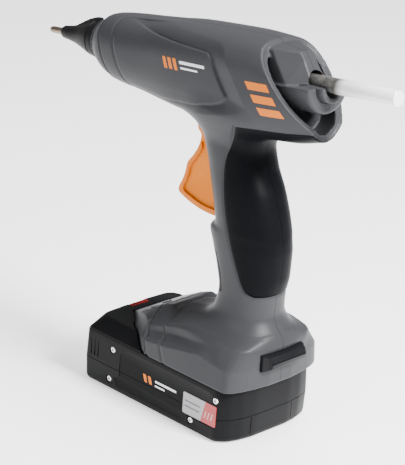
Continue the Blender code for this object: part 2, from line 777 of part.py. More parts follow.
def make_rear_guide():
    """The collar the glue stick enters by, its upper half cut away at the back."""
    profile = [
        (36.0, STICK_RADIUS + 0.7), (36.0, 8.6), (46.0, 8.6), (46.0, 12.2), (86.6, 12.2),
        (87.6, 11.4), (87.6, 8.0), (77.0, STICK_RADIUS + 0.7),
    ]
    guide = turned("guide", profile, "Y", 20)
    over = [(rear_plane(0.0) + 14.6, -0.5), (100.0, -0.5), (100.0, 20.0), (rear_plane(20.0) + 14.6, 20.0)]
    cut(guide, prism("open", over, -20.0, 20.0))
    finish(on_axis(guide), "rear_guide", "body_grey")


# ----------------------------------------------------------------- foot fittings

def make_foot_parts():
    panel = panel_block(0.0)
    tilt = Matrix.Translation(Vector((0.0, -22.5, 54.6)) * MM) @ Matrix.Rotation(math.radians(27.0), 4, "X")
    cut(panel, place(bar("hole", [(-4, 3.5), (4, 3.5)], "Z", 20, (8.0, 0.0)), tilt))
    for x in (-10.0, -3.0):
        cut(panel, place(bar("hole", [(-4, 1.3), (4, 1.3)], "Z", 12, (x, 0.0)), tilt))
    finish(panel, "control_panel", "pack_black")
    button = bar("button", [(-0.6, 3.2), (0.8, 3.2), (1.1, 2.8)], "Z", 20, (8.0, 0.0))
    finish(place(button, tilt), "power_button", "label_grey")
    for name, x in (("heat_light", -10.0), ("charge_light", -3.0)):
        lens = bar("lens", [(-1.1, 1.1), (0.5, 1.1), (0.6, 0.8)], "Z", 12, (x, 0.0))
        finish(place(lens, tilt), name, "light_lens")
    h = BUMPER_HALF
    bumper = prism("bumper", [
        (-h, 60.5), (h, 60.5), (h, 67.8), (h - 3.0, 70.4), (3.0 - h, 70.4), (-h, 67.8),
    ], 44.5, 54.5, "Z")
    bevel(bumper, 1.0, 1, 40.0)
    finish(bumper, "rear_bumper", "grip_black", 25.0)
    board = box("board", (-16, -12, 53.4), (16, 12, 55.0))
    finish(place(board, Matrix.Translation((0, 20 * MM, 0))), "circuit_board", "board_green")
    block = box("block", (-15, 25, 40.6), (15, 43, 51.0))
    for x in (-10.0, 0.0, 10.0):
        cut(block, box("slit", (x - 0.9, 10, 40.0), (x + 0.9, 39, 47.0)))
    finish(block, "terminal_block", "pack_black")
    low = -CHAMBER_RADIUS - 2.2
    for name, side, slot in (("heater_lead", 1, "release_red"), ("sensor_lead", -1, "glue")):
        path = [
            (side * 3.6, 26, 57), (side * 4.0, 30, 68), (side * 5.0, 31, 84), (side * 7.5, 28, 100),
            (side * 10.5, 28, 120), (side * 11.0, 30, 146), (side * 11.4, 27, 170), (side * 11.8, 18, 186),
            (side * 12.0, 4, 193), axis_point(-20, side * 12.0, -14), axis_point(-36, side * 10.0, -11.5),
            axis_point(-47, side * 7.0, low - 2.8), axis_point(-54, side * 4.4, low - 2.8),
            axis_point(-60, side * 3.6, low),
        ]
        finish(tube_path(name, path, 0.9, 6), name, slot, 60.0)


# ------------------------------------------------------------------- battery

def pack_ring(height, shrink=0.0):
    half, length = PACK_WIDTH / 2 - shrink, PACK_LENGTH / 2 - shrink
    left = [
        (14.0, -length),
        (half - 4.6, -length + 0.5),
        (half - 1.4, -length + 1.8),
        (half, -length + 5.0),
        (half, length - 14.0),
        (half - 2.5, length - 6.5),
        (half - 8.0, length - 2.4),
        (14.0, length),
    ]
    right = [(-x, y) for x, y in reversed(left)]
    return [(x, y, height) for x, y in left + right]


def pack_shell():
    shell = loft("shell", [
        pack_ring(0.0, 2.0), pack_ring(2.0, 0.4), pack_ring(14.6, 0.0), pack_ring(15.4, 0.0),
        pack_ring(PACK_HEIGHT, 0.6),
    ])
    nose = nose_block(0.0)
    join(shell, nose)
    rail = box("rail", (-RAIL_NECK, -52, 30), (RAIL_NECK, 40, 37.2))
    head = box("rail", (-RAIL_HEAD, -52, 36.8), (RAIL_HEAD, 40, RAIL_TOP))
    join(shell, rail, head)
    return shell


def nose_block(inset):
    """The raised front of the pack, in front of the foot."""
    front = -PACK_LENGTH / 2
    low = [(37.9, front + 5.6), (36.5, front + 2.5), (33.0, front + 1.2), (10.0, front + 0.8)]
    high = [(29.0, front + 13.0), (27.5, front + 7.5), (22.0, front + 4.0), (10.0, front + 3.2)]
    rings = []
    for height, line in ((PACK_HEIGHT - 3.0, low), (PACK_HEIGHT + 1.0, low), (PACK_NOSE_TOP - inset, high)):
        mirrored = [(-x, y) for x, y in reversed(line)]
        outline = [(line[0][0], 10.0)] + line + mirrored + [(-line[0][0], 10.0)]
        rings.append([(x, y, height) for x, y in outline])
    nose = loft("nose", rings)
    room = loft("room", [
        plan_ring(-48.3, -9.6, 80.0, 39.4, 12.3, PACK_HEIGHT, 0.0),
        plan_ring(-48.3, -10.3, 80.0, 38.4, 12.3, 60.0, 0.0),
    ])
    return cut(nose, room)


def pack_hollow():
    wall = PACK_WALL
    hollow = loft("hollow", [
        pack_ring(wall, wall + 3.0), pack_ring(wall + 3.0, wall + 0.6),
        pack_ring(PACK_HEIGHT - 0.4, wall + 0.6),
    ])
    top = box("top", (-RAIL_NECK + 2, -44, 25), (RAIL_NECK - 2, 36, RAIL_TOP - 2.0))
    join(hollow, top)
    for y, z in pack_screws():
        cut(hollow, across("stub", y, z, [(34.0, 3.2), (45.0, 3.2)], 10))
    return hollow


def pack_screws():
    return [(-36.0, 26.5), (-38.0, 6.8), (32.0, 6.8), (51.0, 26.5)]


def make_pack_case():
    shell = pack_shell()
    cut(shell, pack_hollow())
    release = box("release", (-8.3, -61.0, 34.5), (8.3, -50.5, 60))
    cut(shell, release)
    for y, z in pack_screws():
        cut(shell, across("head", y, z, [(PACK_WIDTH / 2 - 2.2, 2.3), (60, 2.3)], 14))
        cut(shell, across("shank", y, z, [(34.5, 1.2), (60, 1.2)], 10))
    cut(shell, box("label", (PACK_WIDTH / 2 - 0.7, 25.2, 9.4), (60, 53.0, 23.6)))
    for x in (-10.0, 0.0, 10.0):
        cut(shell, box("slit", (x - 1.3, 10, 36.0), (x + 1.3, 60, RAIL_TOP + 2)))
    for name, low, high in (
        ("pack_lower_case", -5.0, PACK_SPLIT - GAP / 2),
        ("pack_upper_case", PACK_SPLIT + GAP / 2, 80.0),
    ):
        piece = copy_of(shell, name)
        keep_inside(piece, box("zone", (-90, -90, low), (90, 90, high)))
        finish(piece, name, "pack_black", 30.0)
    discard([shell])


def make_pack_parts():
    for i in range(5):
        y = (i - 2) * (2.0 * CELL_RADIUS + CELL_GAP) - 0.8
        cell = bar("cell", [
            (-CELL_LENGTH / 2, CELL_RADIUS - 0.6), (-CELL_LENGTH / 2 + 0.6, CELL_RADIUS),
            (CELL_LENGTH / 2 - 0.6, CELL_RADIUS), (CELL_LENGTH / 2, CELL_RADIUS - 0.6),
            (CELL_LENGTH / 2, 3.4), (CELL_LENGTH / 2 + 0.8, 3.4),
        ], "X", 16, (y, 3.0 + CELL_RADIUS + 0.6))
        finish(cell, "cell_%d" % (i + 1), "cell_wrap", 40.0)
    low = 2.0 * CELL_RADIUS + 7.0
    board = box("board", (-14, -42, low), (14, 34, low + 1.4))
    finish(board, "pack_board", "board_green")
    for name, x in (("contact_plus", 10.0), ("contact_data", 0.0), ("contact_minus", -10.0)):
        blade = box("blade", (x - 0.4, 27.0, low + 1.8), (x + 0.4, 35.0, 37.6))
        finish(blade, name, "brass")
    button = prism("button", [
        (-60.2, 36.8), (-60.2, 38.4), (-58.4, 40.8), (-56.0, 41.6), (-51.2, 41.6), (-51.2, 36.8),
    ], -8.0, 8.0)
    bevel(button, 0.5, 1, 50.0)
    finish(button, "release_button", "release_red", 30.0)
    label = box("label", (PACK_WIDTH / 2 - 0.5, 25.6, 9.8), (PACK_WIDTH / 2 - 0.1, 52.6, 23.2))
    finish(label, "pack_label", "label_grey")
    for i, (y, z) in enumerate(pack_screws()):
        outside = PACK_WIDTH / 2 - 0.5
        finish(screw(y, z, outside - 1.4, outside, 34.8, 1.0, 2.0), "pack_screw_%d" % (i + 1), "steel")


def screw(y, z, seat, top, tail, shank, head):
    """A pan-head screw along X, from its tail to its head with a star socket."""
    stations = [(tail, shank), (seat, shank), (seat, head), (top - 0.3, head), (top, head * 0.86)]
    body = across("screw", y, z, stations, 10)
    socket = across("socket", y, z, [(top - 0.8, head * 0.42), (top + 1, head * 0.42)], 6)
    return cut(body, socket)


def make_housing_screws():
    for key, (y, z, seat) in screw_points().items():
        made = screw(y, z, seat + 0.3, seat + 2.3, -10.0, SCREW_RADIUS, HEAD_RADIUS)
        place(made, Matrix.Scale(-1, 4, (1, 0, 0)))
        made.data.flip_normals()
        finish(made, "housing_screw_" + key, "steel")


def build():
    clear_scene()
    make_housing()
    make_grip()
    make_nozzle()
    make_shroud()
    make_chamber()
    make_heater()
    make_carriage()
    make_trigger()
    make_return_spring()
    make_stick()
    make_rear_guide()
    make_foot_parts()
    make_pack_case()
    make_pack_parts()
    make_housing_screws()


build()
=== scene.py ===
"""Cordless hot glue gun: the fine surface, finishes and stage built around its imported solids."""

import math

import bmesh
import bpy
import numpy as np
from mathutils import Matrix, Vector
from mathutils.bvhtree import BVHTree


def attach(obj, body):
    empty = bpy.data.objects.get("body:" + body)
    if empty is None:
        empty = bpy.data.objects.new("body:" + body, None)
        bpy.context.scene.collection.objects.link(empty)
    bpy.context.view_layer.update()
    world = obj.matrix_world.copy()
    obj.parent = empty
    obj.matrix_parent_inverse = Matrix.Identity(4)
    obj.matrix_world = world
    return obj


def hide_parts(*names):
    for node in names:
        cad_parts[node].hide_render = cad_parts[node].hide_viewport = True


bl_info = {
    "name": "Cordless Glue Gun",
    "version": (1, 0, 0),
    "blender": (4, 5, 0),
    "location": "3D View > Sidebar > Glue Gun",
    "description": "Builds a cordless hot glue gun standing on its battery pack",
    "category": "Add Mesh",
}

MM = 0.001
PITCH = math.radians(6.9)
AXIS_HEIGHT = 210.3

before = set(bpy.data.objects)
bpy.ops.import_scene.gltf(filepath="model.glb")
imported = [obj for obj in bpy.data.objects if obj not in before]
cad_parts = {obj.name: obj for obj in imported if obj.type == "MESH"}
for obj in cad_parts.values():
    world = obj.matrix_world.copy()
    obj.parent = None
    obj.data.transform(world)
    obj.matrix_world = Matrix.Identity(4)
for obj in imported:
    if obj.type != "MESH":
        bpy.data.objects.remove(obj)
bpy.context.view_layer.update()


# --------------------------------------------------------------- properties

def length(name, description, default, low, high):
    return bpy.props.FloatProperty(
        name=name, description=description, default=default, min=low, max=high, unit="LENGTH")


def colour(name, description, default):
    return bpy.props.FloatVectorProperty(
        name=name, description=description, default=default, min=0.0, max=1.0, size=3, subtype="COLOR")


class GlueGunSizes(bpy.types.PropertyGroup):
    """Sizes of the fine surface, in metres."""

    grain: length("Surface step", "Spacing of the points on the moulded skin", 0.00065, 0.0004, 0.002)
    handle_fillet: length(
        "Handle fillet", "Reach of the blend between the barrel and the handle", 0.012, 0.0, 0.03)
    foot_fillet: length(
        "Foot fillet", "Reach of the blend between the handle and the foot", 0.010, 0.0, 0.03)
    panel_depth: length("Side panel depth", "How far the barrel's side panel is let in", 0.0011, 0.0, 0.003)
    band_depth: length(
        "Band depth", "Depth of the sloped band at the edge of the side panel", 0.0023, 0.0, 0.004)
    print_height: length("Print height", "Thickness of the printed marks", 0.00007, 0.00002, 0.0005)


class GlueGunColours(bpy.types.PropertyGroup):
    """Colours of the moulded parts."""

    body: colour("Housing", "Grey of the housing", (0.029, 0.0295, 0.032))
    grip: colour("Grip", "Black of the soft grip", (0.0028, 0.0031, 0.0038))
    trigger: colour("Trigger", "Orange of the trigger", (0.60, 0.155, 0.0))
    pack: colour("Battery pack", "Black of the battery pack", (0.0042, 0.0043, 0.0047))
    marks: colour("Printed marks", "Orange of the printed marks", (0.62, 0.150, 0.0))
    release: colour("Release button", "Red of the pack's release button", (0.17, 0.002, 0.002))


def sizes():
    return bpy.context.scene.glue_gun_sizes


def colours():
    return bpy.context.scene.glue_gun_colours


# ------------------------------------------------------------ shader graphs

class Wire:
    """A shader socket that takes Python arithmetic."""

    def __init__(self, graph, socket):
        self.graph = graph
        self.socket = socket

    def maths(self, operation, first, second=None):
        inputs = {0: first}
        if second is not None:
            inputs[1] = second
        return self.graph.node("ShaderNodeMath", {"operation": operation}, inputs)

    def __add__(self, other):
        return self.maths("ADD", self, other)

    __radd__ = __add__

    def __sub__(self, other):
        return self.maths("SUBTRACT", self, other)

    def __rsub__(self, other):
        return self.maths("SUBTRACT", other, self)

    def __mul__(self, other):
        return self.maths("MULTIPLY", self, other)

    __rmul__ = __mul__

    def __truediv__(self, other):
        return self.maths("DIVIDE", self, other)

    def __gt__(self, other):
        return self.maths("GREATER_THAN", self, other)

    def __lt__(self, other):
        return self.maths("LESS_THAN", self, other)

    def __abs__(self):
        return self.maths("ABSOLUTE", self)

    def there_and_back(self, span):
        return self.maths("PINGPONG", self, span)

    def held(self, low=0.0, high=1.0):
        return self.graph.node("ShaderNodeClamp", {}, {0: self, 1: low, 2: high})


class Graph:
    """The nodes of one finish."""

    def __init__(self, name):
        self.material = bpy.data.materials.new(name)
        self.material.use_nodes = True
        self.tree = self.material.node_tree
        self.tree.nodes.clear()
        self.place = self.node("ShaderNodeTexCoord", output="Object")

    def node(self, kind, settings=None, inputs=None, output=0):
        made = self.tree.nodes.new(kind)
        for key, value in (settings or {}).items():
            if key == "stops":
                ramp = made.color_ramp
                while len(ramp.elements) < len(value):
                    ramp.elements.new(1.0)
                for element, (at, tone) in zip(ramp.elements, value):
                    element.position = at
                    element.color = (*tone, 1.0) if len(tone) == 3 else tone
            else:
                setattr(made, key, value)
        for key, value in (inputs or {}).items():
            if isinstance(value, Wire):
                self.tree.links.new(value.socket, made.inputs[key])
            else:
                made.inputs[key].default_value = value
        return Wire(self, made.outputs[output]) if made.outputs else None

    def noise(self, scale, detail=2.0, rough=0.5, where=None):
        return self.node("ShaderNodeTexNoise", {}, {
            "Vector": where or self.place, "Scale": scale, "Detail": detail, "Roughness": rough})

    def cells(self, scale, where=None):
        return self.node("ShaderNodeTexVoronoi", {"feature": "F1"}, {
            "Vector": where or self.place, "Scale": scale, "Randomness": 1.0}, "Distance")

    def axis(self, name, where=None):
        return self.node("ShaderNodeSeparateXYZ", {}, {0: where or self.place}, name)

    def blend(self, share, first, second):
        first = (*first, 1.0) if isinstance(first, tuple) else first
        second = (*second, 1.0) if isinstance(second, tuple) else second
        return self.node("ShaderNodeMix", {"data_type": "RGBA"}, {0: share, 6: first, 7: second}, 2)

    def ramp(self, value, *stops):
        return self.node("ShaderNodeValToRGB", {"stops": stops}, {0: value})

    def stretched(self, scale):
        return self.node("ShaderNodeMapping", {}, {"Vector": self.place, "Scale": scale})

    def finish(self, colour, roughness, height=None, depth=0.0001, strength=0.5, **fixed):
        inputs = {"Roughness": roughness}
        inputs["Base Color"] = colour if isinstance(colour, Wire) else (*colour, 1.0)
        if height is not None:
            inputs["Normal"] = self.node("ShaderNodeBump", {}, {
                "Strength": strength, "Distance": depth, "Height": height})
        for key, value in fixed.items():
            name = key.replace("_", " ").title().replace("Ior", "IOR")
            inputs[name] = value
        shader = self.node("ShaderNodeBsdfPrincipled", {}, inputs)
        self.node("ShaderNodeOutputMaterial", {}, {"Surface": shader})
        return self.material


def shade(colour, factor):
    return tuple(min(1.0, channel * factor) for channel in colour)


FINISHES = {}


def finish_for(name):
    """Each finish is made once, when a piece first asks for it."""
    if name not in FINISHES:
        FINISHES[name] = MAKERS[name](name)
    return FINISHES[name]


def sparked_plastic(name, colour, rough, grain, depth, strength, specular):
    """Moulded plastic with the fine grain of a spark-eroded tool and a little handling shine."""
    g = Graph(name)
    cloud = g.noise(38.0, 3.0, 0.55)
    speck = g.noise(1500.0, 1.0)
    handled = g.noise(14.0, 2.0, 0.6)
    tone = (cloud * 0.7 + speck * 0.3).held()
    mixed = g.blend(tone, shade(colour, 0.90), shade(colour, 1.12))
    worn = ((handled - 0.45) * 1.6).held()
    gloss = rough + (cloud - 0.5) * 0.10 - worn * 0.05 + (speck - 0.5) * 0.06
    grainy = g.cells(grain) * 0.6 + g.noise(grain * 0.45, 2.0) * 0.6
    return g.finish(mixed, gloss, grainy, depth, strength, specular_ior_level=specular)


def clouded(name, scale, detail, dark, light, rough, sway, depth, strength, lumpy=0.5, bump=0.0, **fixed):
    """A plain material that follows one cloud, with a finer bump where a scale is given for it."""
    g = Graph(name)
    cloud = g.noise(scale, detail, lumpy)
    mixed = g.blend(cloud.held(), dark, light)
    height = g.noise(bump) if bump else cloud
    return g.finish(mixed, rough + (cloud - 0.5) * sway, height, depth, strength, **fixed)


def grip_rubber(name):
    """Soft overmould: black, with a close matt texture."""
    g = Graph(name)
    cloud = g.noise(45.0, 3.0, 0.6)
    mixed = g.blend(cloud.held(), shade(colours().grip, 0.8), shade(colours().grip, 1.35))
    gloss = 0.40 + (cloud - 0.5) * 0.12 + (g.noise(900.0, 1.0) - 0.5) * 0.08
    close = g.cells(1500.0) * 0.7 + g.noise(3000.0, 1.0) * 0.3
    return g.finish(mixed, gloss, close, 0.00006, 0.35, specular_ior_level=0.03)


def trigger_plastic(name):
    """Orange plastic, with painted shade darkening its convex rims."""
    g = Graph(name)
    cloud = g.noise(60.0, 2.0)
    # painted shade: a mask that rises where the surface is convex, along the lever's rims
    painted_rim_shade = (g.node("ShaderNodeNewGeometry", output="Pointiness") - 0.5) * 14.0
    mixed = g.blend(cloud.held(), shade(colours().trigger, 0.93), shade(colours().trigger, 1.04))
    # painted shade: the rims are blended towards a darker orange (0.42, 0.085, 0.0)
    mixed = g.blend((painted_rim_shade * 0.5).held(0.0, 0.35), mixed, (0.42, 0.085, 0.0))
    gloss = 0.30 + (cloud - 0.5) * 0.10
    return g.finish(mixed, gloss, g.noise(1800.0, 2.0), 0.00003, 0.25, specular_ior_level=0.12)


def nozzle_finish(name):
    """Steel turned on a lathe about the feed axis, with heat tint towards its tip."""
    g = Graph(name)
    rings = g.noise(1.0, 2.0, 0.6, g.stretched((180.0, 4200.0, 180.0)))
    along = ((g.axis("Y") + 0.098) * -24.0).held()
    steel = (0.40, 0.345, 0.30)
    base = g.blend(rings.held(), shade(steel, 0.8), shade(steel, 1.15))
    mixed = g.blend(along * 0.8, base, (0.20, 0.145, 0.10))
    gloss = 0.34 + (rings - 0.5) * 0.18 + (g.noise(300.0) - 0.5) * 0.12
    return g.finish(mixed, gloss, rings, 0.00003, 0.3, metallic=1.0)


def bright_steel(name):
    """Zinc-plated steel with fine scratches."""
    g = Graph(name)
    scratches = g.noise(1.0, 3.0, 0.7, g.stretched((700.0, 5000.0, 900.0)))
    cloud = g.noise(220.0, 2.0)
    mixed = g.blend(cloud.held(), (0.55, 0.56, 0.57), (0.74, 0.74, 0.75))
    return g.finish(mixed, 0.24 + (scratches - 0.5) * 0.2, scratches, 0.00002, 0.3, metallic=1.0)


def milky_glue(name):
    """Milky hot-melt glue: white, with painted shade near black along the part that lies inside the gun at
    rest.
    """
    g = Graph(name)
    along = g.axis("Y") * 1000.0
    cloud = g.noise(260.0, 3.0, 0.6)
    streak = g.noise(1.0, 2.0, 0.5, g.stretched((900.0, 40.0, 900.0)))
    # painted shade: near black up to 90 mm along Y, where the stick sits in the gun's shade at rest, white
    # from 96 mm on
    tone = g.ramp(((along - 60.0) / 60.0).held(),
                  (0.0, (0.022, 0.021, 0.019)), (0.50, (0.040, 0.038, 0.034)),
                  (0.60, (0.62, 0.62, 0.61)), (1.0, (0.86, 0.86, 0.85)))
    mixed = g.blend(((cloud - 0.35) * 0.3).held(0.0, 0.12), tone, (0.50, 0.50, 0.49))
    gloss = 0.20 + (streak - 0.5) * 0.12
    return g.finish(mixed, gloss, streak, 0.00004, 0.3, subsurface_weight=0.12,
                    subsurface_scale=0.002, coat_weight=0.3, coat_roughness=0.12)


def heater_film(name):
    """Woven film round the heating element."""
    g = Graph(name)
    weave = g.noise(1.0, 1.0, 0.5, g.stretched((2200.0, 300.0, 2200.0)))
    mixed = g.blend(weave.held(), (0.20, 0.075, 0.02), (0.36, 0.15, 0.05))
    return g.finish(mixed, 0.3 + (weave - 0.5) * 0.2, weave, 0.00004, 0.4)


def circuit_green(name):
    """Solder mask over copper tracks."""
    g = Graph(name)
    tracks = g.node("ShaderNodeTexBrick", {"offset": 0.4}, {
        "Vector": g.place, "Scale": 260.0, "Mortar Size": 0.03, "Color1": (0, 0, 0, 1),
        "Color2": (0.3, 0.3, 0.3, 1), "Mortar": (1, 1, 1, 1)}, 1)
    mixed = g.blend(tracks, (0.012, 0.11, 0.035), (0.03, 0.22, 0.08))
    return g.finish(mixed, 0.34 + g.noise(300.0) * 0.1, tracks, 0.00003, 0.4, coat_weight=0.3)


def cell_film(name):
    """Shrink film on a cell, with bare steel ends."""
    g = Graph(name)
    out = abs(g.axis("X")) * 1000.0
    cloud = g.noise(90.0, 2.0)
    film = g.blend(cloud.held(), (0.02, 0.14, 0.36), (0.04, 0.22, 0.50))
    mixed = g.blend(out > 31.8, film, (0.60, 0.60, 0.61))
    return g.finish(mixed, 0.32 + (cloud - 0.5) * 0.1, cloud, 0.00003, 0.2, coat_weight=0.3)


def label_film(name):
    """Printed film: a silver field with plain bars and a red end."""
    g = Graph(name)
    y = g.axis("Y") * 1000.0
    z = g.axis("Z") * 1000.0
    lean = y - (z - 16.5) * 0.25
    red = lean > 42.2
    rows = (z - 11.4).there_and_back(1.7) < 0.55
    field = (y > 27.2) * (y < 39.4) * (z > 12.2) * (z < 20.8)
    brushed = g.noise(1.0, 3.0, 0.6, g.stretched((300.0, 90.0, 2400.0)))
    silver = g.blend(brushed.held(), (0.20, 0.20, 0.21), (0.32, 0.32, 0.33))
    marked = g.blend(rows * field * 0.9, silver, (0.03, 0.03, 0.032))
    pale = ((lean - 44.4).there_and_back(1.3) < 0.35) * (z > 13.0) * (z < 17.4) * red * (y < 50.2)
    inked = g.blend(red, marked, (0.34, 0.003, 0.004))
    inked = g.blend(pale * 0.85, inked, (0.55, 0.40, 0.40))
    return g.finish(inked, 0.33 + (brushed - 0.5) * 0.12, brushed, 0.00001, 0.2, coat_weight=0.25)


def moulded(colour, *values):
    """A maker of moulded plastic. A colour given as a word comes from the panel."""
    return lambda name: sparked_plastic(
        name, tuple(getattr(colours(), colour)) if isinstance(colour, str) else colour, *values)


def plain(*values, **fixed):
    """A maker of a clouded material."""
    return lambda name: clouded(name, *values, **fixed)


def inked(colour):
    """A maker of printing ink."""
    def make(name):
        ink = tuple(colours().marks) if colour is None else colour
        return clouded(name, 2600.0, 1.0, shade(ink, 0.9), shade(ink, 1.05), 0.40, 0.15, 0.00001, 0.3,
                       specular_ior_level=0.2)
    return make


MAKERS = {
    "body_plastic": moulded("body", 0.42, 2600.0, 0.00005, 0.35, 0.14),
    "pack_plastic": moulded("pack", 0.38, 2200.0, 0.00005, 0.35, 0.07),
    "release_plastic": moulded("release", 0.34, 2400.0, 0.00003, 0.3, 0.25),
    "panel_plastic": moulded((0.085, 0.086, 0.092), 0.40, 3000.0, 0.00003, 0.25, 0.3),
    "black_shroud": moulded((0.006, 0.006, 0.0065), 0.42, 2000.0, 0.00006, 0.4, 0.08),
    "bumper_rubber": moulded((0.006, 0.006, 0.007), 0.36, 1700.0, 0.00005, 0.35, 0.1),
    "cast_metal": plain(900.0, 4.0, (0.45, 0.46, 0.48), (0.66, 0.67, 0.69), 0.48, 0.25, 0.00015, 0.6,
                        lumpy=0.65, metallic=1.0),
    "red_silicone": plain(150.0, 3.0, (0.42, 0.07, 0.045), (0.62, 0.13, 0.08), 0.52, 0.15, 0.00004, 0.3,
                          bump=1200.0),
    "plain_brass": plain(400.0, 3.0, (0.60, 0.40, 0.14), (0.80, 0.58, 0.25), 0.28, 0.2, 0.00002, 0.3,
                         metallic=1.0),
    "wrapped_lead": plain(200.0, 2.0, (0.42, 0.02, 0.018), (0.60, 0.035, 0.03), 0.42, 0.12, 0.00003, 0.3),
    "frosted_lens": plain(900.0, 2.0, (0.55, 0.66, 0.60), (0.74, 0.84, 0.78), 0.27, 0.1, 0.00002, 0.2,
                          transmission_weight=0.2),
    "orange_ink": inked(None),
    "pale_ink": inked((0.74, 0.74, 0.76)),
    "grip_rubber": grip_rubber,
    "trigger_plastic": trigger_plastic,
    "nozzle_finish": nozzle_finish,
    "bright_steel": bright_steel,
    "milky_glue": milky_glue,
    "heater_film": heater_film,
    "circuit_green": circuit_green,
    "cell_film": cell_film,
    "label_film": label_film,
}


# -------------------------------------------------------------- mesh making

def solid(name, points, faces):
    """A mesh object from points in millimetres."""
    mesh = bpy.data.meshes.new(name)
    mesh.from_pydata([tuple(c * MM for c in p) for p in points], [], faces)
    made = bpy.data.objects.new(name, mesh)
    bpy.context.scene.collection.objects.link(made)
    edit = bmesh.new()
    edit.from_mesh(mesh)
    bmesh.ops.recalc_face_normals(edit, faces=edit.faces)
    edit.to_mesh(mesh)
    edit.free()
    return made


def loft(name, rings, closed=False):
    """Skin over rings that all have the same number of points: with flat ends, or joined into a loop."""
    count = len(rings[0])
    points = [p for ring in rings for p in ring]
    faces = []
    for r in range(len(rings) if closed else len(rings) - 1):
        s = (r + 1) % len(rings)
        for i in range(count):
            j = (i + 1) % count
            faces.append((r * count + i, r * count + j, s * count + j, s * count + i))
    if not closed:
        faces.append(tuple(range(count)))
        faces.append(tuple(range(len(points) - count, len(points))))
    return solid(name, points, faces)


AXES = {"X": (1, 2, 0), "Y": (0, 2, 1), "Z": (0, 1, 2)}


def plate(name, outline, low, high, axis="X"):
    """An outline in the plane across an axis, made thick along it."""
    u, v, w = AXES[axis]
    rings = []
    for level in (low, high):
        ring = []
        for a, b in outline:
            point = [0.0, 0.0, 0.0]
            point[u], point[v], point[w] = a, b, level
            ring.append(tuple(point))
        rings.append(ring)
    return loft(name, rings)


def block(name, low, high):
    return plate(name, [(low[0], low[1]), (high[0], low[1]), (high[0], high[1]), (low[0], high[1])],
                 low[2], high[2], "Z")


def ring_of(profile, segments):
    """Rings of a turned profile about Y. A radius of zero closes on the axis."""
    rings = []
    for along, radius in profile:
        radius = max(radius, 0.02)
        rings.append([(radius * math.cos(2 * math.pi * i / segments), along,
                       radius * math.sin(2 * math.pi * i / segments)) for i in range(segments)])
    return rings


def turned(name, profile, axis="Y", centre=(0.0, 0.0), segments=64, closed=False):
    """A lathe shape. An open profile ends in flat discs, a closed one is a ring."""
    rings = ring_of(profile, segments)
    if axis == "X":
        rings = [[(y, x + centre[0], z + centre[1]) for x, y, z in ring] for ring in rings]
    elif axis == "Z":
        rings = [[(x + centre[0], z + centre[1], y) for x, y, z in ring] for ring in rings]
    return loft(name, rings, closed)


def curved(points, steps=6, closed=True, keep=()):
    """A smooth line through points. Those listed in keep stay as corners."""
    points = [np.array(p, float) for p in points]
    count = len(points)
    spans = count if closed else count - 1
    line = []
    for i in range(spans):
        j = (i + 1) % count
        before = points[i - 1] if (closed or i > 0) else points[i]
        after = points[(j + 1) % count] if (closed or j + 1 < count) else points[j]
        start = (points[j] - before) * 0.5
        end = (after - points[i]) * 0.5
        if i in keep:
            start = points[j] - points[i]
        if j in keep:
            end = points[j] - points[i]
        for k in range(steps):
            t = k / steps
            line.append(tuple(
                points[i] * (2 * t ** 3 - 3 * t ** 2 + 1) + start * (t ** 3 - 2 * t ** 2 + t)
                + points[j] * (3 * t ** 2 - 2 * t ** 3) + end * (t ** 3 - t ** 2)))
    if not closed:
        line.append(tuple(points[-1]))
    return line


def rounded_corners(points, radius, steps=5):
    """A polygon with each corner replaced by an arc-like curve."""
    line = []
    count = len(points)
    for i in range(count):
        a, b, c = (np.array(points[(i + k) % count], float) for k in (-1, 0, 1))
        to_a, to_c = a - b, c - b
        reach = min(radius, np.linalg.norm(to_a) * 0.45, np.linalg.norm(to_c) * 0.45)
        start = b + to_a / np.linalg.norm(to_a) * reach
        end = b + to_c / np.linalg.norm(to_c) * reach
        for k in range(steps + 1):
            t = k / steps
            line.append(tuple(start * (1 - t) ** 2 + b * 2 * t * (1 - t) + end * t ** 2))
    return line


def rectangle(x, y, width, height, radius, steps=5):
    """A rectangle with round corners, from one corner and its sides."""
    corners = [(x, y), (x + width, y), (x + width, y + height), (x, y + height)]
    return rounded_corners(corners, radius, steps)


def combine(target, other, kind):
    """One Boolean step, with the other shape used up."""
    change = target.modifiers.new("combine", "BOOLEAN")
    change.operation = kind
    change.object = other
    change.solver = "MANIFOLD"
    apply_changes(target)
    drop(other)
    return target


def cut(target, *others):
    for other in others:
        combine(target, other, "DIFFERENCE")
    return target


def join(target, *others):
    for other in others:
        combine(target, other, "UNION")
    return target


def within(target, other):
    return combine(target, other, "INTERSECT")


def drop(*objects):
    for item in objects:
        bpy.data.objects.remove(item, do_unlink=True)


def apply_changes(target):
    """Replace the mesh with what its modifiers make of it."""
    bpy.context.view_layer.update()
    seen = target.evaluated_get(bpy.context.evaluated_depsgraph_get())
    mesh = bpy.data.meshes.new_from_object(seen)
    old = target.data
    target.modifiers.clear()
    target.data = mesh
    bpy.data.meshes.remove(old)
    return target


def twin(source, name):
    made = source.copy()
    made.data = source.data.copy()
    made.name = name
    bpy.context.scene.collection.objects.link(made)
    return made


def soften(target, width, segments=3, angle=30.0):
    """Round every edge that is sharper than an angle."""
    change = target.modifiers.new("soften", "BEVEL")
    change.width = width * MM
    change.segments = segments
    change.limit_method = "ANGLE"
    change.angle_limit = math.radians(angle)
    change.miter_outer = "MITER_ARC"
    change.use_clamp_overlap = True
    return apply_changes(target)


def even_skin(target, step):
    """Rebuild the surface on an even grid, which also merges shapes and softens edges."""
    change = target.modifiers.new("even", "REMESH")
    change.mode = "VOXEL"
    change.voxel_size = step
    change.adaptivity = 0.0
    return apply_changes(target)


def shifted(target, matrix):
    target.data.transform(matrix)
    return target


def mirrored(target):
    target.data.transform(Matrix.Scale(-1.0, 4, (1, 0, 0)))
    target.data.flip_normals()
    return target


def points_of(target):
    flat = np.empty(len(target.data.vertices) * 3, np.float32)
    target.data.vertices.foreach_get("co", flat)
    return flat.reshape(-1, 3).astype(float) / MM


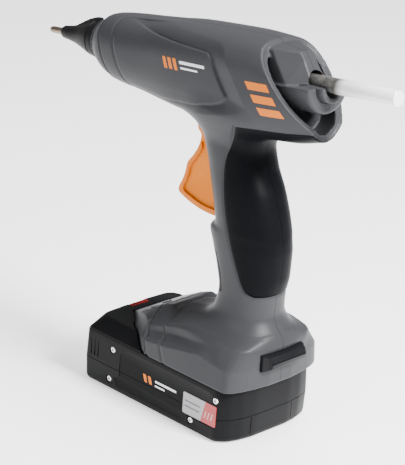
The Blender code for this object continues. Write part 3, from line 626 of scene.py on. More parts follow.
def normals_of(target):
    flat = np.empty(len(target.data.vertices) * 3, np.float32)
    target.data.vertex_normals.foreach_get("vector", flat)
    return flat.reshape(-1, 3).astype(float)


def set_points(target, points):
    target.data.vertices.foreach_set("co", (points * MM).astype(np.float32).ravel())
    target.data.update()
    return target


def relax(target, rounds, share=None):
    """Even out a skin: each point moves towards its neighbours, then a little back."""
    edges = np.empty(len(target.data.edges) * 2, np.int64)
    target.data.edges.foreach_get("vertices", edges)
    edges = edges.reshape(-1, 2)
    points = points_of(target)
    count = np.bincount(edges.ravel(), minlength=len(points)).astype(float)
    for step in range(rounds * 2):
        total = np.zeros_like(points)
        for axis in range(3):
            total[:, axis] = (
                np.bincount(edges[:, 0], points[edges[:, 1], axis], len(points))
                + np.bincount(edges[:, 1], points[edges[:, 0], axis], len(points)))
        move = total / np.maximum(count, 1.0)[:, None] - points
        amount = 0.5 if step % 2 == 0 else -0.52
        if share is not None:
            amount = np.where(share > 0.0, 0.5 * share, amount)[:, None] if step % 2 == 0 else (
                np.where(share > 0.0, 0.0, amount)[:, None])
        points = points + move * amount
    return set_points(target, points)


def dress(target, name, finish, body="housing", stands_for=(), angle=32.0):
    """Name a finished piece, give it its finish and let it ride on its body."""
    target.name = name
    target.data.name = name
    target.data.materials.clear()
    target.data.materials.append(finish_for(finish))
    target.data.shade_smooth()
    target.data.set_sharp_from_angle(angle=math.radians(angle))
    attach(target, body)
    if stands_for:
        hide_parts(*stands_for)
    return target


# -------------------------------------------------------- feed-axis placing

def axis_matrix():
    return Matrix.Translation((0.0, 0.0, AXIS_HEIGHT * MM)) @ Matrix.Rotation(PITCH, 4, "X")


def on_axis(target):
    return shifted(target, axis_matrix())


def axis_point(along, across=0.0, up=0.0):
    return tuple((axis_matrix() @ (Vector((across, along, up)) * MM)) / MM)


def along_axis(points):
    """Points in millimetres as across, along and up of the feed axis."""
    c, s = math.cos(PITCH), math.sin(PITCH)
    y, z = points[:, 1], points[:, 2] - AXIS_HEIGHT
    return points[:, 0], y * c + z * s, z * c - y * s


PANEL_PLACE = Vector((0.0, -22.5, 54.6)) * MM
PANEL_TILT = Matrix.Translation(PANEL_PLACE) @ Matrix.Rotation(math.radians(27.0), 4, "X")


# ------------------------------------------------------------ body stations

BARREL = [
    (-97.5, 0.46, 12.4, 12.4, 2.0), (-87.0, 0.69, 17.6, 19.0, 2.1), (-84.0, 0.72, 18.2, 20.2, 2.2),
    (-50.0, 0.86, 20.2, 24.6, 2.6), (-15.0, 0.97, 21.8, 29.4, 3.0), (20.0, 1.0, 22.0, 34.6, 3.1),
    (45.0, 0.94, 21.2, 36.0, 2.9), (64.0, 0.89, 18.8, 35.8, 2.4), (80.0, 0.80, 16.6, 33.4, 1.85),
    (104.0, 0.70, 14.0, 27.5, 1.75),
]
BARREL_HALF = 27.0
HANDLE = [
    (56.0, 2.0, 64.0, 1.55), (66.0, 14.0, 59.5, 1.16), (74.0, 18.0, 57.0, 1.02), (83.0, 19.3, 57.6, 0.97),
    (96.0, 16.0, 60.2, 0.99), (110.0, 11.0, 60.6, 1.03), (117.5, 8.4, 59.6, 1.04), (122.0, 12.6, 58.4, 1.05),
    (130.0, 11.4, 56.0, 1.05), (144.0, 7.6, 50.8, 1.03), (158.0, 3.6, 43.8, 1.0), (170.0, -0.8, 40.8, 1.0),
    (182.0, -6.0, 43.0, 1.12), (192.0, -8.0, 49.0, 1.22),
]
HANDLE_HALF = 18.5
GRIP_SKIN = 2.0
WALL = 2.5
REAR_SLANT = math.tan(math.radians(36.9))


def smooth_stations(stations, low, high, step):
    """Stations filled in by a curve that never overshoots its neighbours."""
    table = np.array(stations, float)
    x, y = table[:, 0], table[:, 1:]
    h = np.diff(x)
    slope = np.diff(y, axis=0) / h[:, None]
    bend = np.zeros_like(y)
    for i in range(1, len(x) - 1):
        same = slope[i - 1] * slope[i] > 0
        w1, w2 = 2 * h[i] + h[i - 1], h[i] + 2 * h[i - 1]
        with np.errstate(divide="ignore", invalid="ignore"):
            bend[i] = np.where(same, (w1 + w2) / (w1 / slope[i - 1] + w2 / slope[i]), 0.0)
    bend[0], bend[-1] = slope[0], slope[-1]
    made = []
    for at in np.linspace(low, high, max(2, int(round((high - low) / step)) + 1)):
        i = int(np.clip(np.searchsorted(x, at) - 1, 0, len(h) - 1))
        t = (at - x[i]) / h[i]
        value = (y[i] * (2 * t ** 3 - 3 * t ** 2 + 1) + bend[i] * h[i] * (t ** 3 - 2 * t ** 2 + t)
                 + y[i + 1] * (3 * t ** 2 - 2 * t ** 3) + bend[i + 1] * h[i] * (t ** 3 - t ** 2))
        made.append((float(at), *[float(v) for v in value]))
    return made


def oval(width, top, bottom, power, count):
    """A squared-off oval with its own height above and below its centre."""
    ring = []
    for i in range(count):
        angle = 2 * math.pi * (i + 0.5) / count
        c, s = math.cos(angle), math.sin(angle)
        reach = (abs(c) ** power + abs(s) ** power) ** (-1.0 / power)
        ring.append((width * c * reach, (top if s > 0 else bottom) * s * reach))
    return ring


def barrel(inset=0.0, front=-97.5, back=104.0, step=1.5, count=160):
    rings = []
    for along, share, top, bottom, power in smooth_stations(BARREL, front, back, step):
        flat = oval(BARREL_HALF * share - inset, top - inset, bottom - inset, power, count)
        rings.append([(x, along, z) for x, z in flat])
    return on_axis(loft("barrel", rings))


def handle(inset=0.0, low=56.0, high=192.0, step=1.0, count=128):
    rings = []
    for height, front, back, share in smooth_stations(HANDLE, low, high, step):
        middle, half = (front + back) / 2, (back - front) / 2
        flat = oval(HANDLE_HALF * share - inset, half - inset, half - inset, 2.35, count)
        rings.append([(x, middle + y, height) for x, y in flat])
    return loft("handle", rings)


FOOT = [
    (-48.0, 12.0, 38.0, 11.8, 0.0, 41.2, 10.6, 41.6), (-40.0, 19.0, 39.5, 18.6, 0.0, 45.2, 15.4, 45.7),
    (-31.6, 26.0, 41.0, 25.4, 0.0, 48.6, 20.0, 50.0), (-22.0, 32.0, 42.0, 31.2, 0.0, 50.6, 25.6, 54.9),
    (-16.5, 35.2, 42.3, 34.6, 0.0, 50.2, 29.0, 57.8), (-12.5, 37.2, 42.6, 36.6, 1.6, 50.0, 30.2, 59.4),
    (-8.0, 38.2, 43.2, 37.5, 2.7, 51.2, 30.3, 60.8), (6.7, 38.6, 45.2, 38.0, 3.0, 55.8, 30.4, 62.0),
    (16.0, 38.6, 46.8, 37.9, 2.7, 57.8, 30.4, 62.4), (26.0, 38.6, 48.6, 37.6, 2.2, 59.2, 30.3, 62.8),
    (34.0, 38.6, 49.9, 37.2, 1.3, 59.7, 30.2, 63.0), (43.0, 38.6, 48.6, 37.2, 0.5, 59.9, 30.1, 63.0),
    (50.0, 38.6, 47.8, 37.3, 0.0, 59.3, 30.0, 63.0), (56.0, 38.5, 47.2, 37.3, 0.0, 58.5, 29.8, 62.6),
    (58.6, 37.6, 47.0, 36.4, 0.0, 58.0, 28.6, 62.2), (61.0, 33.8, 46.6, 32.8, 0.0, 57.9, 25.4, 62.0),
    (63.2, 27.0, 46.2, 26.4, 0.0, 54.6, 21.0, 58.0), (65.0, 17.0, 46.0, 16.6, 0.0, 50.4, 15.4, 52.6),
    (66.0, 9.0, 45.6, 8.8, 0.0, 47.6, 8.2, 48.4),
]


def foot_section(station, inset, floor):
    """One cross-section of the foot: base, lower ledge, hollow, deck ridge and crowned deck."""
    y, base, ledge_up, ledge, step, ridge_up, ridge, crown = station
    hollow_up = ledge_up + (ridge_up - ledge_up) * 0.14
    mid_up = (ledge_up + ridge_up) / 2
    slope = (ledge + ridge) / 2
    flat = 1.0 - steps_between(y, -9.0, -5.0)
    shoulder = ridge * 0.55 + (min(16.4, ridge * 0.86) - ridge * 0.55) * flat
    shoulder_up = (ridge_up + crown * 2) / 3 + (crown - ridge_up) / 3 * flat
    half = [
        (base - inset, floor), (ledge - inset, ledge_up - inset * 0.3),
        (ledge - 0.9 - step * 0.95 - inset, hollow_up), (slope - step * 1.1 - inset, mid_up),
        (ridge - inset, ridge_up - inset), (shoulder, shoulder_up - inset), (ridge * 0.2, crown - inset),
    ]
    return [(x, y, z) for x, z in half] + [(-x, y, z) for x, z in reversed(half)]


def foot(inset=0.0, floor=33.8):
    """The foot, lofted from its nose to its back."""
    stations = smooth_stations(FOOT, -48.0 + inset, 66.0 - inset, 1.2)
    return loft("foot", [foot_section(station, inset, floor) for station in stations])


def rear_plane(up, depth=0.0):
    """Where the slanted back face stands at a height above the feed axis."""
    return 63.2 - depth - up * REAR_SLANT


def rear_block(depth, inset):
    """Everything behind the slanted back face, moved forward by depth."""
    lip = 81.5 - depth
    bend = (63.2 - depth - lip) / REAR_SLANT
    outline = [(rear_plane(60.0, depth), 60.0), (lip, bend), (lip, -60.0), (170.0, -60.0), (170.0, 60.0)]
    made = on_axis(plate("back", outline, -44.0, 44.0))
    if inset > 0.0:
        within(made, barrel(inset, -20.0, 130.0, 3.0, 96))
    return made


def rear_tower(shrink=0.0):
    """The ridge in the recess that the stick's hole comes out of, with a broad facet on each side."""
    rings = []
    for up, half, out in ((21.0, 4.0, 11.2), (12.0, 4.6, 13.4), (0.0, 5.4, 15.6), (-7.0, 6.0, 16.2)):
        low = rear_plane(up) + 2.4 - shrink
        crest = min(rear_plane(up) + 15.4, 76.0) - shrink
        out, half = out - shrink, half - shrink * 0.5
        rings.append([(x, y, up) for x, y in (
            (-out, 20.0), (-out, low), (-half, crest), (half, crest), (out, low), (out, 20.0))])
    return on_axis(loft("tower", rings))


def nearest_distance(points, other):
    """Distance from each point to another shape's surface, in millimetres."""
    mesh = other.data
    tree = BVHTree.FromPolygons([v.co for v in mesh.vertices], [p.vertices for p in mesh.polygons])
    return np.array([tree.find_nearest(Vector(p * MM))[3] / MM for p in points])


def steps_between(value, low, high):
    """0 below low, 1 above high, and a smooth rise between them."""
    t = np.clip((value - low) / (high - low), 0.0, 1.0)
    return t * t * (3 - 2 * t)


def fillet(skin, first, second, reach, region):
    """Fill the inside corner where two shapes meet."""
    reach = reach / MM
    points = points_of(skin)
    picked = np.nonzero(region(points))[0]
    a = nearest_distance(points[picked], first)
    b = nearest_distance(points[picked], second)
    gap = np.clip(1.0 - np.maximum(a, b) / reach, 0.0, 1.0)
    raise_by = np.zeros(len(points))
    raise_by[picked] = reach * 0.25 * gap ** 2
    share = np.zeros(len(points))
    share[picked] = np.clip(gap * 1.5, 0.0, 1.0)
    set_points(skin, points + normals_of(skin) * raise_by[:, None])
    return relax(skin, 5, share)


GRIP_LINE = [
    (36.5, 187.0), (29.0, 172.0), (26.0, 160.0), (27.0, 146.0), (31.0, 128.0),
    (38.0, 108.0), (46.0, 90.0), (52.0, 85.5), (90.0, 85.5),
]


def grip_edge():
    return curved(GRIP_LINE, 8, closed=False, keep=(7, 8))


def distance_to_line(y, z, line):
    """Distance in the side view from each point to a broken line."""
    best = np.full(len(y), 1e9)
    for (ay, az), (by, bz) in zip(line, line[1:]):
        dy, dz = by - ay, bz - az
        t = np.clip(((y - ay) * dy + (z - az) * dz) / (dy * dy + dz * dz), 0.0, 1.0)
        best = np.minimum(best, np.hypot(y - ay - t * dy, z - az - t * dz))
    return best


PANEL_EDGE = [
    (-80.0, 20.6), (-49.4, 18.5), (-13.2, 14.9), (13.5, 13.0), (16.8, 10.5), (22.8, -0.6), (29.1, -11.8),
    (26.6, -14.6), (18.2, -17.3), (-0.2, -20.4), (-30.0, -22.0), (-80.0, -17.0),
]
BAND_EDGE = [
    (-84.0, 22.6), (-36.1, 21.3), (-1.7, 19.9), (20.5, 18.5), (25.6, 16.0), (35.1, 0.2), (43.4, -15.6),
    (38.0, -19.6), (12.5, -23.6), (-30.0, -26.0), (-84.0, -21.0),
]


def inside_outline(a, b, outline):
    """Whether each point is inside a closed outline."""
    inside = np.zeros(len(a), bool)
    for (a1, b1), (a2, b2) in zip(outline, outline[1:] + outline[:1]):
        crossing = (b1 > b) != (b2 > b)
        with np.errstate(divide="ignore", invalid="ignore"):
            at = a1 + (b - b1) * (a2 - a1) / (b2 - b1 + 1e-12)
        inside ^= crossing & (a < at)
    return inside


def side_relief(points):
    """Depth of the barrel's side panel and of the sloped band that runs down to its edge."""
    across, s, u = along_axis(points)
    to_panel = distance_to_line(s, u, PANEL_EDGE + PANEL_EDGE[:1])
    to_band = distance_to_line(s, u, BAND_EDGE + BAND_EDGE[:1])
    in_panel = inside_outline(s, u, PANEL_EDGE)
    in_band = inside_outline(s, u, BAND_EDGE)
    panel, band = sizes().panel_depth / MM, sizes().band_depth / MM
    slope = band * to_band / (to_band + to_panel + 1e-6)
    lip = panel + (band - panel) * (1.0 - steps_between(to_panel, 0.0, 0.9))
    depth = np.where(in_panel, lip, np.where(in_band, slope, 0.0))
    clear_of_belly = np.maximum(steps_between(u, -25.0, -15.0), steps_between(s, -4.0, 12.0))
    fade = steps_between(s, -72.0, -34.0) * clear_of_belly
    return depth * fade * (np.abs(across) > 7.0)


def ring_relief(points):
    """The stepped collars and the leaning grooves round the barrel's front."""
    _, s, u = along_axis(points)
    lean = s - 0.30 * (12.0 - u)
    collar = 0.7 * (1.0 - steps_between(lean, -87.2, -86.2))
    grooves = 0.75 * np.exp(-((lean + 84.6) / 0.75) ** 2) + 0.5 * np.exp(-((lean + 70.5) / 0.9) ** 2)
    return (collar + grooves) * (s > -96.0)


def body_skin():
    """The whole moulded form of barrel, handle and foot as one even skin."""
    shell = barrel()
    below = on_axis(block("below", (-30.0, 20.0, -60.0), (30.0, 120.0, -13.0)))
    pocket = within(rear_block(17.0, 4.6), below)
    cut(shell, rear_block(0.0, 0.0), rear_block(1.1, 1.5), rear_block(8.0, 4.6), pocket)
    boss = on_axis(turned("seat", [(30.0, 17.0), (81.6, 17.0), (82.8, 16.4), (83.4, 15.4)], segments=96))
    cut(boss, on_axis(block("over", (-30.0, 20.0, -0.4), (30.0, 120.0, 40.0))))
    join(shell, within(rear_tower(), barrel(2.0, -20.0, 104.0, 3.0, 96)), boss)
    post, base, drum = handle(), foot(), barrel(step=3.0, count=96)
    join(shell, twin(post, "post"), twin(base, "base"))
    even_skin(shell, sizes().grain)
    relax(shell, 3)
    fillet(shell, drum, post, sizes().handle_fillet,
           lambda p: (p[:, 2] > 150.0) & (p[:, 2] < 215.0) & (p[:, 1] > -40.0) & (p[:, 1] < 74.0))
    fillet(shell, base, post, sizes().foot_fillet,
           lambda p: (p[:, 2] > 50.0) & (p[:, 2] < 84.0) & (p[:, 1] > -30.0))
    drop(post, base, drum)
    points = points_of(shell)
    inward = side_relief(points) + ring_relief(points)
    edge = distance_to_line(points[:, 1], points[:, 2], grip_edge())
    on_grip = (points[:, 2] > 60.0) & (points[:, 2] < 188.0) & (points[:, 1] < 62.0)
    inward += 0.7 * np.exp(-(edge / 0.9) ** 2) * on_grip
    set_points(shell, points - normals_of(shell) * inward[:, None])
    return relax(shell, 1)


def body_cavity():
    """The hollow inside both halves."""
    hollow = barrel(WALL + 0.4, -92.0, 104.0, 6.0, 48)
    cut(hollow, rear_block(20.0, 0.0))
    join(hollow, handle(WALL + GRIP_SKIN, 50.0, 196.0, 4.0, 48), foot(WALL + 0.6, 41.8))
    backing = block("backing", (-20.0, 56.0, 38.0), (20.0, 80.0, 60.0))
    return cut(hollow, backing)


def grip_space(shrink):
    """The space of the soft grip: outside the handle's core and behind its edge."""
    line = grip_edge()
    if shrink > 0.0:
        front = [(y + shrink, z) for y, z in line[:-9]]
        line = front + [(52.0 + shrink, 85.5 + shrink), (89.0, 85.5 + shrink)]
    outline = line + [(90.0 - shrink * 2, 160.0), (104.0, 196.0 - shrink)]
    zone = plate("zone", outline, -40.0, 40.0)
    cut(zone, handle(GRIP_SKIN - shrink, 50.0, 196.0, 2.0, 96))
    return cut(zone, barrel(0.7 - shrink, -20.0, 104.0, 4.0, 96))


def insert_space(shrink):
    """The finger insert's space, round the front of the handle below the trigger."""
    outline = rounded_corners([
        (-10.0, 81.6 + shrink), (29.8 - shrink, 81.6 + shrink), (27.4 - shrink, 95.0),
        (22.6 - shrink, 106.4), (8.0, 112.4 - shrink), (-10.0, 112.4 - shrink)], 2.4, 4)
    zone = plate("zone", outline, -22.0, 22.0)
    return cut(zone, handle(1.6 - shrink, 50.0, 196.0, 2.0, 96))


def half_space(sign, gap=0.1):
    low, high = (gap, 80.0) if sign > 0 else (-80.0, -gap)
    return block("half", (low, -170.0, -10.0), (high, 170.0, 260.0))


SCREWS = {"front": (-36.0, -19.0), "top": (36.0, 14.5), "rear": (58.0, -27.0)}


def screw_places():
    """Depth, height and head seat of each housing screw."""
    found = {key: axis_point(a, 0.0, u)[1:] for key, (a, u) in SCREWS.items()}
    found.update({"handle": (36.0, 122.0), "heel": (40.0, 78.0), "foot": (50.0, 49.0)})
    seats = {"front": 15.5, "top": 17.5, "rear": 15.5, "handle": 12.5, "heel": 12.0, "foot": 24.0}
    return {key: (*found[key], seats[key]) for key in seats}


def cut_openings(shell):
    """Openings for the parts that pass through the walls."""
    cut(shell, on_axis(turned("mouth", [(-110.0, 10.4), (-85.0, 10.4)])))
    throat = turned("throat", [(34.0, 10.7), (92.0, 10.7)])
    cut(throat, block("over", (-20.0, 57.0, 0.0), (20.0, 100.0, 20.0)))
    join(throat, turned("hole", [(50.0, 6.6), (92.0, 6.6)]))
    cut(shell, on_axis(throat))
    slot = [(-30, 120.6), (-30, 186.0), (20, 186.0), (24, 150.0), (24, 120.6)]
    cut(shell, soften(plate("slot", slot, -9.2, 9.2), 0.8))
    cut(shell, block("neck", (-17.4, -80, 30), (17.4, 44.4, 37.0)))
    cut(shell, block("head", (-21.4, -80, 36.2), (21.4, 44.4, 40.3)))
    cut(shell, block("plug", (-15.3, 24.7, 39.0), (15.3, 43.3, 52.0)))
    bed = plate("bed", rectangle(-15.3, -8.8, 30.6, 17.6, 2.4), -1.5, 9.0, "Z")
    cut(shell, shifted(bed, PANEL_TILT))
    cut(shell, block("bumper", (-17.3, 60.2, 44.2), (17.3, 80.0, 54.8)))
    for y, z, seat in screw_places().values():
        cut(shell, turned("head", [(-60.0, 3.1), (-seat, 3.1)], "X", (y, z), 32))
    return shell


def print_marks(skin):
    """Marks a hair above the skin: plain slanted bars, no lettering."""
    raised = twin(skin, "raised")
    set_points(raised, points_of(raised) + normals_of(raised) * sizes().print_height / MM)
    within(raised, block("side", (20.8, -60.0, 170.0), (60.0, 120.0, 240.0)))
    cut(raised, twin(skin, "under"), rear_block(2.2, 0.0))

    def bar(s0, u0, length, height, lean):
        return [(s0, u0), (s0 + length, u0), (s0 + length + lean, u0 - height), (s0 + lean, u0 - height)]

    accents = [bar(43.6 + 3.8 * k, 0.6 - 7.0 * k, 15.4 + 0.2 * k, 4.4, 2.4) for k in range(3)]
    nose = [bar(-22.5 + 4.3 * k, 5.2, 2.6, 6.6, 2.0) for k in range(3)]
    pale = [bar(-8.2, 4.4, 20.5, 1.7, 0.5), bar(-7.2, 0.9, 14.0, 1.1, 0.4)]
    for name, outlines, finish in (
        ("accent_bars", accents, "orange_ink"),
        ("nose_bars", nose, "orange_ink"),
        ("pale_lines", pale, "pale_ink"),
    ):
        for side in (1, -1):
            stamps = [on_axis(plate("stamp", rounded_corners(line, 0.5, 3), 2.0, 60.0)) for line in outlines]
            pieces = merged(*[within(twin(raised, "part"), stamp) for stamp in stamps])
            if side < 0:
                mirrored(pieces)
            label = name + ("_left" if side > 0 else "_right")
            dress(pieces, label, finish)
    drop(raised)


def merged(first, *others):
    """Several pieces as one object, each still whole."""
    edit = bmesh.new()
    for part in (first, *others):
        edit.from_mesh(part.data)
    edit.to_mesh(first.data)
    edit.free()
    drop(*others)
    return first


# ---------------------------------------------------------------- operators

class BuildPiece(bpy.types.Operator):
    """Common ground of the operators that build one group of pieces."""

    bl_options = {"REGISTER", "UNDO"}

    def execute(self, context):
        self.make(context)
        return {"FINISHED"}


class GLUEGUN_OT_housing(BuildPiece):
    """Build both housing halves, the soft grip and the printed marks"""

    bl_idname = "glue_gun.housing"
    bl_label = "Housing and Grip"

    def make(self, context):
        skin = body_skin()
        print_marks(skin)
        hollow = body_cavity()
        grip = within(twin(skin, "grip"), grip_space(0.22))
        strip = within(twin(skin, "strip"), insert_space(0.2))
        cut(skin, grip_space(0.0), insert_space(0.0))
        soften(strip, 0.3, 2, 50.0)
        dress(strip, "finger_strip", "grip_rubber", "housing", ("handle_insert",), 38.0)
        cut(skin, hollow)
        cut_openings(skin)
        for side, word in ((1, "left"), (-1, "right")):
            half = within(twin(skin, "half"), half_space(side))
            dress(half, word + "_shell", "body_plastic", "housing", ("housing_" + word,), 38.0)
            pad = within(twin(grip, "pad"), half_space(side))
            dress(pad, word + "_grip_pad", "grip_rubber", "housing", ("grip_" + word,), 38.0)
        drop(skin, grip)


TRIGGER_LINE = [
    (-7.5, 178.0), (-6.8, 171.0), (-3.8, 167.0), (-5.4, 159.8), (-9.4, 153.0), (-13.4, 147.6),
    (-14.6, 142.0), (-16.6, 136.0), (-19.0, 131.0), (-18.8, 127.6), (-13.0, 125.0), (-6.0, 123.0),
    (1.0, 121.9), (8.0, 121.6), (16.0, 122.2), (18.0, 124.0), (16.4, 150.0), (14.4, 172.0), (10.0, 178.4),
]


class GLUEGUN_OT_trigger(BuildPiece):
    """Build the finger lever with its hollow sides and feed fork"""

    bl_idname = "glue_gun.trigger"
    bl_label = "Trigger"

    def make(self, context):
        lever = plate("lever", curved(TRIGGER_LINE, 5, keep=(0, 18)), -8.0, 8.0)
        soften(lever, 1.3, 4, 50.0)
        side = curved([
            (-3.0, 163.4), (-2.6, 159.0), (-7.2, 151.0), (-10.8, 145.6), (-12.0, 140.0), (-13.6, 135.4),
            (-15.4, 131.4), (-14.4, 129.0), (-10.0, 127.6), (0.0, 125.2), (12.0, 125.0), (13.0, 128.0),
            (12.0, 162.0), (4.0, 164.0),
        ], 5, keep=(10, 12))
        for low, high in ((6.3, 20.0), (-20.0, -6.3)):
            cut(lever, soften(plate("side", side, low, high), 0.7, 3, 50.0))
        hub = turned("hub", [(-8.7, 5.1), (8.7, 5.1)], "X", (8.0, 173.0))
        arm = [(3.4, 173.0), (12.6, 173.0), (13.6, 199.0), (13.4, 216.6), (2.4, 216.6), (2.2, 199.0)]
        fork = soften(plate("fork", arm, -8.7, 8.7), 0.5, 2, 50.0)
        cut(fork, block("inside", (-6.6, -30.0, 185.0), (6.6, 60.0, 240.0)))
        join(lever, hub, fork)
        turn = Matrix.Translation(Vector((0.0, 8.0, 173.0)) * MM) @ Matrix.Rotation(-0.0035, 4, "X")
        cut(lever, shifted(block("slot", (-20.0, -2.45, 34.3), (20.0, 2.45, 60.0)), turn))
        cut(lever, turned("hole", [(-20.0, 2.05), (20.0, 2.05)], "X", (8.0, 173.0), 48))
        cut(lever, turned("room", [(-3.6, 4.6), (3.6, 4.6)], "X", (8.0, 173.0), 48))
        cut(lever, block("well", (-3.6, 8.0, 160.0), (3.6, 40.0, 177.6)))
        dress(lever, "finger_lever", "trigger_plastic", "trigger", ("trigger",))


class GLUEGUN_OT_nozzle(BuildPiece):
    """Build the nozzle and the shroud round its foot"""

    bl_idname = "glue_gun.nozzle"
    bl_label = "Nozzle"

    def make(self, context):
        tip = turned("tip", [
            (-145.9, 0.9), (-146.0, 1.0), (-146.0, 1.5), (-145.7, 1.75), (-144.0, 2.1), (-124.6, 2.15),
            (-124.2, 2.3), (-123.2, 3.4), (-122.0, 4.3), (-113.4, 5.9), (-113.0, 6.0), (-105.2, 6.0),
            (-104.8, 5.7), (-104.6, 4.2), (-93.2, 4.2), (-93.0, 4.0), (-93.0, 1.6), (-120.0, 1.6),
            (-122.0, 0.9),
        ], segments=72, closed=True)
        dress(on_axis(tip), "nozzle_tip", "nozzle_finish", stands_for=("nozzle",))
        collar = turned("collar", [
            (-133.8, 2.75), (-134.0, 3.0), (-133.9, 3.5), (-133.2, 3.9), (-127.0, 4.7), (-120.0, 6.1),
            (-114.0, 8.0), (-108.0, 10.1), (-104.4, 11.0), (-104.0, 10.7), (-103.4, 10.7), (-103.0, 11.2),
            (-99.2, 11.9), (-98.5, 12.0), (-98.0, 11.8), (-97.9, 10.1), (-91.0, 10.1), (-91.0, 8.7),
            (-106.0, 8.7), (-114.0, 6.6), (-124.0, 4.4), (-132.0, 2.75),
        ], segments=96, closed=True)
        fin = plate("fin", curved([
            (-124.0, 4.6), (-118.0, 7.6), (-110.0, 11.2), (-104.0, 12.9), (-99.6, 13.0), (-99.0, 9.5),
            (-108.0, 9.3),
        ], 5, keep=(4, 5)), -1.1, 1.1)
        join(collar, soften(fin, 0.5, 3, 50.0))
        dress(on_axis(collar), "nozzle_collar", "black_shroud", stands_for=("nozzle_shroud",))


class GLUEGUN_OT_stick(BuildPiece):
    """Build the glue stick and the collar it enters by"""

    bl_idname = "glue_gun.stick"
    bl_label = "Glue Stick and Guide"

    def make(self, context):
        stick = turned("stick", [
            (-57.0, 3.9), (-56.8, 4.2), (-56.3, 4.5), (-20.0, 4.5), (20.0, 4.5), (60.0, 4.5), (90.0, 4.5),
            (132.9, 4.5), (133.3, 4.4), (133.5, 4.1), (133.5, 2.0), (133.2, 1.0),
        ], segments=64)
        dress(on_axis(stick), "hot_melt_stick", "milky_glue", "stick", ("glue_stick",))
        guide = turned("guide", [
            (36.0, 5.2), (36.0, 8.6), (46.0, 8.6), (46.0, 10.3), (86.3, 10.3), (87.0, 10.1), (87.5, 9.7),
            (87.6, 9.3), (87.6, 7.6), (87.3, 7.1), (84.0, 6.2), (77.0, 5.4), (72.0, 5.2),
        ], segments=96, closed=True)
        on_axis(guide)
        cut(guide, on_axis(block("over", (-30.0, 56.5, -0.5), (30.0, 120.0, 30.0))))
        dress(guide, "stick_collar", "body_plastic", stands_for=("rear_guide",))


class GLUEGUN_OT_foot(BuildPiece):
    """Build the control panel, its button and lights, and the rear bumper"""

    bl_idname = "glue_gun.foot_fittings"
    bl_label = "Foot Fittings"

    def make(self, context):
        panel = plate("panel", rectangle(-15, -8.5, 30, 17, 2.2), -1.2, 0.4, "Z")
        soften(panel, 0.3, 3)
        cut(panel, turned("hole", [(-4, 3.5), (4, 3.5)], "Z", (8.0, 0.0), 48))
        for x in (-10.0, -3.0):
            cut(panel, turned("hole", [(-4, 1.3), (4, 1.3)], "Z", (x, 0.0), 32))
        shifted(panel, PANEL_TILT)
        dress(panel, "control_plate", "panel_plastic", stands_for=("control_panel",))
        dome = [(-0.6, 3.2), (0.7, 3.2), (1.0, 3.05), (1.1, 2.8), (1.0, 1.6), (0.95, 0.5)]
        button = shifted(turned("button", dome, "Z", (8.0, 0.0), 48), PANEL_TILT)
        inlay = [(0.95, 1.2), (0.95, 1.6), (1.12, 1.6), (1.12, 1.2)]
        ring = turned("ring", inlay, "Z", (8.0, 0.0), 40, True)
        dress(button, "power_key", "panel_plastic", "power", ("power_button",))
        dress(shifted(ring, PANEL_TILT), "power_key_ring", "pale_ink", "power")
        for name, x in (("heat_light", -10.0), ("charge_light", -3.0)):
            drop_shape = [(-1.1, 1.1), (0.3, 1.1), (0.5, 1.0), (0.6, 0.7), (0.66, 0.2)]
            lens = shifted(turned("lens", drop_shape, "Z", (x, 0.0), 32), PANEL_TILT)
            dress(lens, name + "_lens", "frosted_lens", stands_for=(name,))
        dashes = (
            (-13.0, 4.0, 6.0, 0.8), (-13.0, 5.6, 3.6, 0.8), (-5.2, 4.0, 4.4, 0.8), (-5.2, 5.6, 4.4, 0.8),
            (-13.0, -5.0, 12.2, 0.6), (5.2, 5.2, 5.6, 0.8), (5.2, -6.0, 5.6, 0.8),
        )
        signs = merged(*[plate("dash", rectangle(*dash, 0.3, 3), 0.38, 0.46, "Z") for dash in dashes])
        dress(shifted(signs, PANEL_TILT), "panel_signs", "pale_ink")
        side_view = [(60.5, 44.5), (67.0, 44.8), (71.6, 47.4), (72.2, 50.6), (70.4, 54.2), (60.5, 54.5)]
        bumper = plate("bumper", side_view, -17.0, 17.0)
        for side in (1, -1):
            corner = [(13.6, 74.0), (14.4, 69.4), (17.8, 66.0), (30.0, 66.0), (30.0, 90.0)]
            cut(bumper, plate("corner", [(side * x, y) for x, y in corner], 40.0, 60.0, "Z"))
        soften(bumper, 0.8, 3, 25.0)
        cut(bumper, block("groove", (-20.0, 71.4, 50.4), (20.0, 80.0, 50.9)))
        dress(bumper, "bumper_pad", "bumper_rubber", stands_for=("rear_bumper",))


# -------------------------------------------------------------- battery pack

PACK_HALF, PACK_END = 38.5, 60.5


def pack_ring(height, shrink=0.0, radius=2.4):
    half, length = PACK_HALF - shrink, PACK_END - shrink
    left = [
        (14.0, -length), (half - 2.0, -length + 0.2), (half, -length + 2.6), (half, length - 7.6),
        (half - 5.4, length - 2.6), (half - 14.0, length + 0.2), (14.0, length + 1.4),
    ]
    outline = left + [(-x, y) for x, y in reversed(left)]
    return [(x, y, height) for x, y in rounded_corners(outline, radius, 5)]


def foot_room():
    """The space of the foot above the pack, with a little clearance."""
    return join(foot(-0.35, 33.5), block("back", (-39.4, -7.0, 33.5), (39.4, 90.0, 60.0)))


